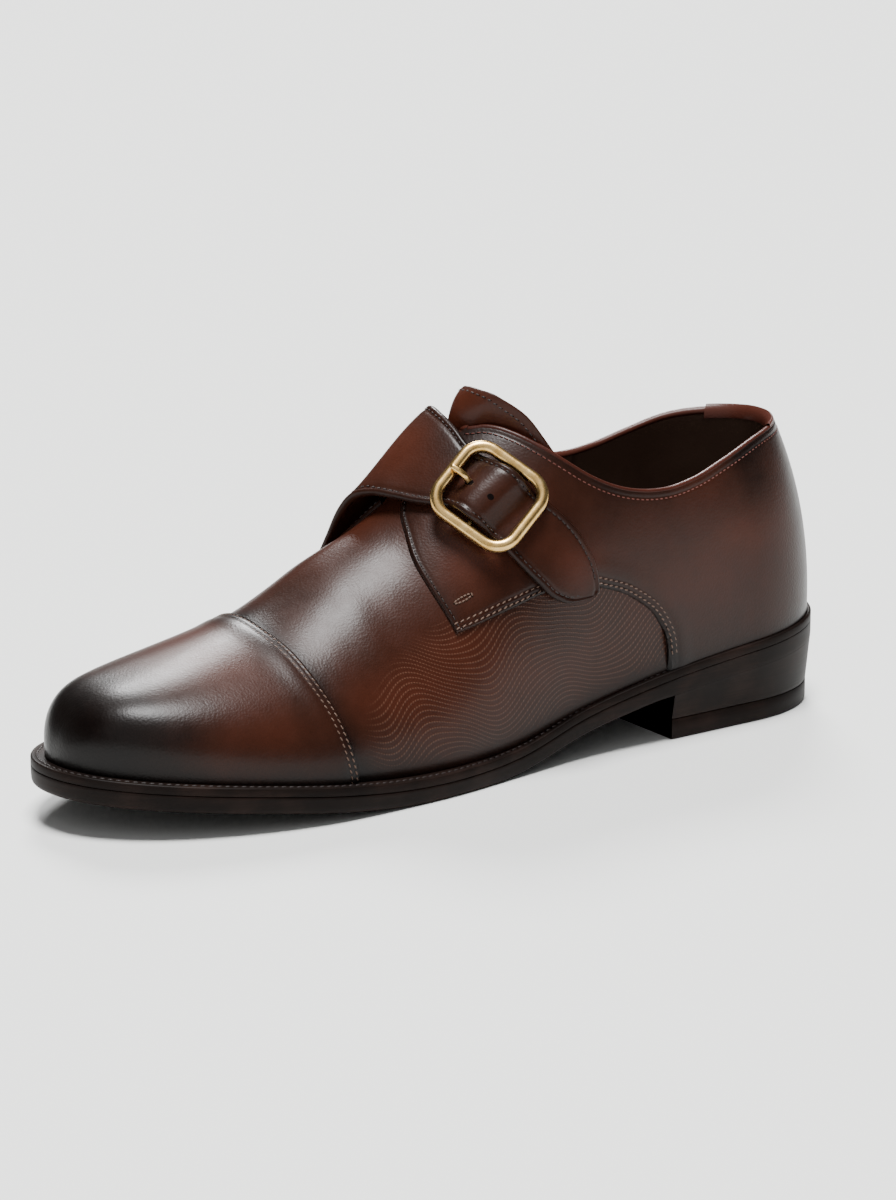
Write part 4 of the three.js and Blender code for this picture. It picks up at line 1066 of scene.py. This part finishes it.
# The welt's own row of stitches, in its groove, and then all the rows as thread.
turns = np.linspace(0, 1, 900)
for side in (1, -1):
    x, share = outline(turns, side, margin_at(share_of(turns)) - 2.2)
    keep = share * LENGTH > 60
    line = np.stack([x, HEEL_Y - share * LENGTH, floor_at(share) - 0.12], -1)[keep]
    sew("dark", line, np.array([0, 0, 1.0]) + 0 * line, step=2.7, length=2.1, radius=0.3)
rings, sides = 7, 6
t = np.linspace(-1, 1, rings)
dip = 0.16 * t ** 4
turn = np.linspace(0, 2 * np.pi, sides, endpoint=False)
for kind, material in (("dark", dark_thread), ("tan", tan_thread), ("red", red_thread)):
    threads, holes = [], []
    for middle, along, beside, away, length, radius in stitch_rows[kind]:
        thick = radius * np.sqrt(np.clip(1 - np.abs(t) ** 3, 0.02, 1))
        middle, along, beside, away = (v[:, None, None] for v in (middle, along, beside, away))
        threads.append(middle + along * (t * length / 2)[:, None, None]
                       + beside * (thick[:, None] * np.cos(turn))[..., None]
                       + away * (thick[:, None] * np.sin(turn) - dip[:, None])[..., None])
        # A dark disc at each end of the stitch: painted shade of its needle hole.
        holes.append(middle + along * (length / 2 + 0.12) + away * -0.06
                     + 0.27 * (along * np.cos(turn)[:, None] + beside * np.sin(turn)[:, None]))
    threads, holes = np.concatenate(threads), np.concatenate(holes)
    starts = np.arange(len(threads))[:, None, None] * rings * sides
    faces = (quads(rings, sides, flip=True, loop=True) + starts).reshape(-1, 4)
    obj = piece(kind + "_stitches", threads, faces, material, smooth=80)
    obj = piece(kind + "_needle_holes", holes, np.arange(len(holes) * sides).reshape(-1, sides), needle_hole)

# Floor, light and camera
# A pale seamless floor and three soft lamps: the strongest nearly overhead, one behind the shoe and a weak
# one in front. The camera stands low, at the photograph's three-quarter angle.
bpy.ops.mesh.primitive_plane_add(size=40, location=(0, 0, -0.0002))
ground = bpy.context.object
ground.name = "pale_floor"
# Matt paint of one pale grey, with no gloss.
floor_paint, _, _ = surface("matt_floor_paint", **{"Base Color": linear("#e3e4e2"), "Roughness": 0.75})
ground.data.materials.append(floor_paint)

world = bpy.data.worlds.new("studio")
bpy.context.scene.world = world
world.use_nodes = True
world.node_tree.nodes["Background"].inputs["Color"].default_value = linear("#e8eaec")
# The room is dim for the shoe, so that its darks stay deep, and pale where the eye sees past the floor.
sight = add(world.node_tree, "ShaderNodeLightPath").outputs["Is Camera Ray"]
strength = add(world.node_tree, "ShaderNodeMapRange", {"To Min": 0.12, "To Max": 0.85}, {"Value": sight})
world.node_tree.links.new(strength.outputs["Result"], world.node_tree.nodes["Background"].inputs["Strength"])


def aim(obj, eye, target):
    """Turns a light or camera from one point to another, in metres."""
    obj.location = eye
    obj.rotation_euler = (Vector(target) - Vector(eye)).to_track_quat("-Z", "Y").to_euler()


for name, eye, spread, power in (("overhead", (0.05, -0.02, 0.99), 23, 7.2),
                                 ("behind", (-0.67, 0.38, 0.65), 18, 3.6),
                                 ("front", (0.75, -0.75, 0.8), 60, 0.6)):
    lamp = bpy.data.lights.new(name, "SUN")
    lamp.angle, lamp.energy = math.radians(spread), power
    light = bpy.data.objects.new(name, lamp)
    bpy.context.collection.objects.link(light)
    aim(light, eye, (0, 0, 0))

yaw, elevation, distance = math.radians(34), math.radians(15.5), 1.73159
target = Vector((0.0, 0.006, 0.052))
eye = target + distance * Vector((math.cos(yaw) * math.cos(elevation), -math.sin(yaw) * math.cos(elevation),
                                  math.sin(elevation)))
camera_data = bpy.data.cameras.new("photo_camera")
camera_data.lens = 153.6
camera_data.sensor_width = 36
camera_data.clip_end = 100
camera = bpy.data.objects.new("photo_camera", camera_data)
bpy.context.collection.objects.link(camera)
aim(camera, eye, target)
bpy.context.scene.camera = camera
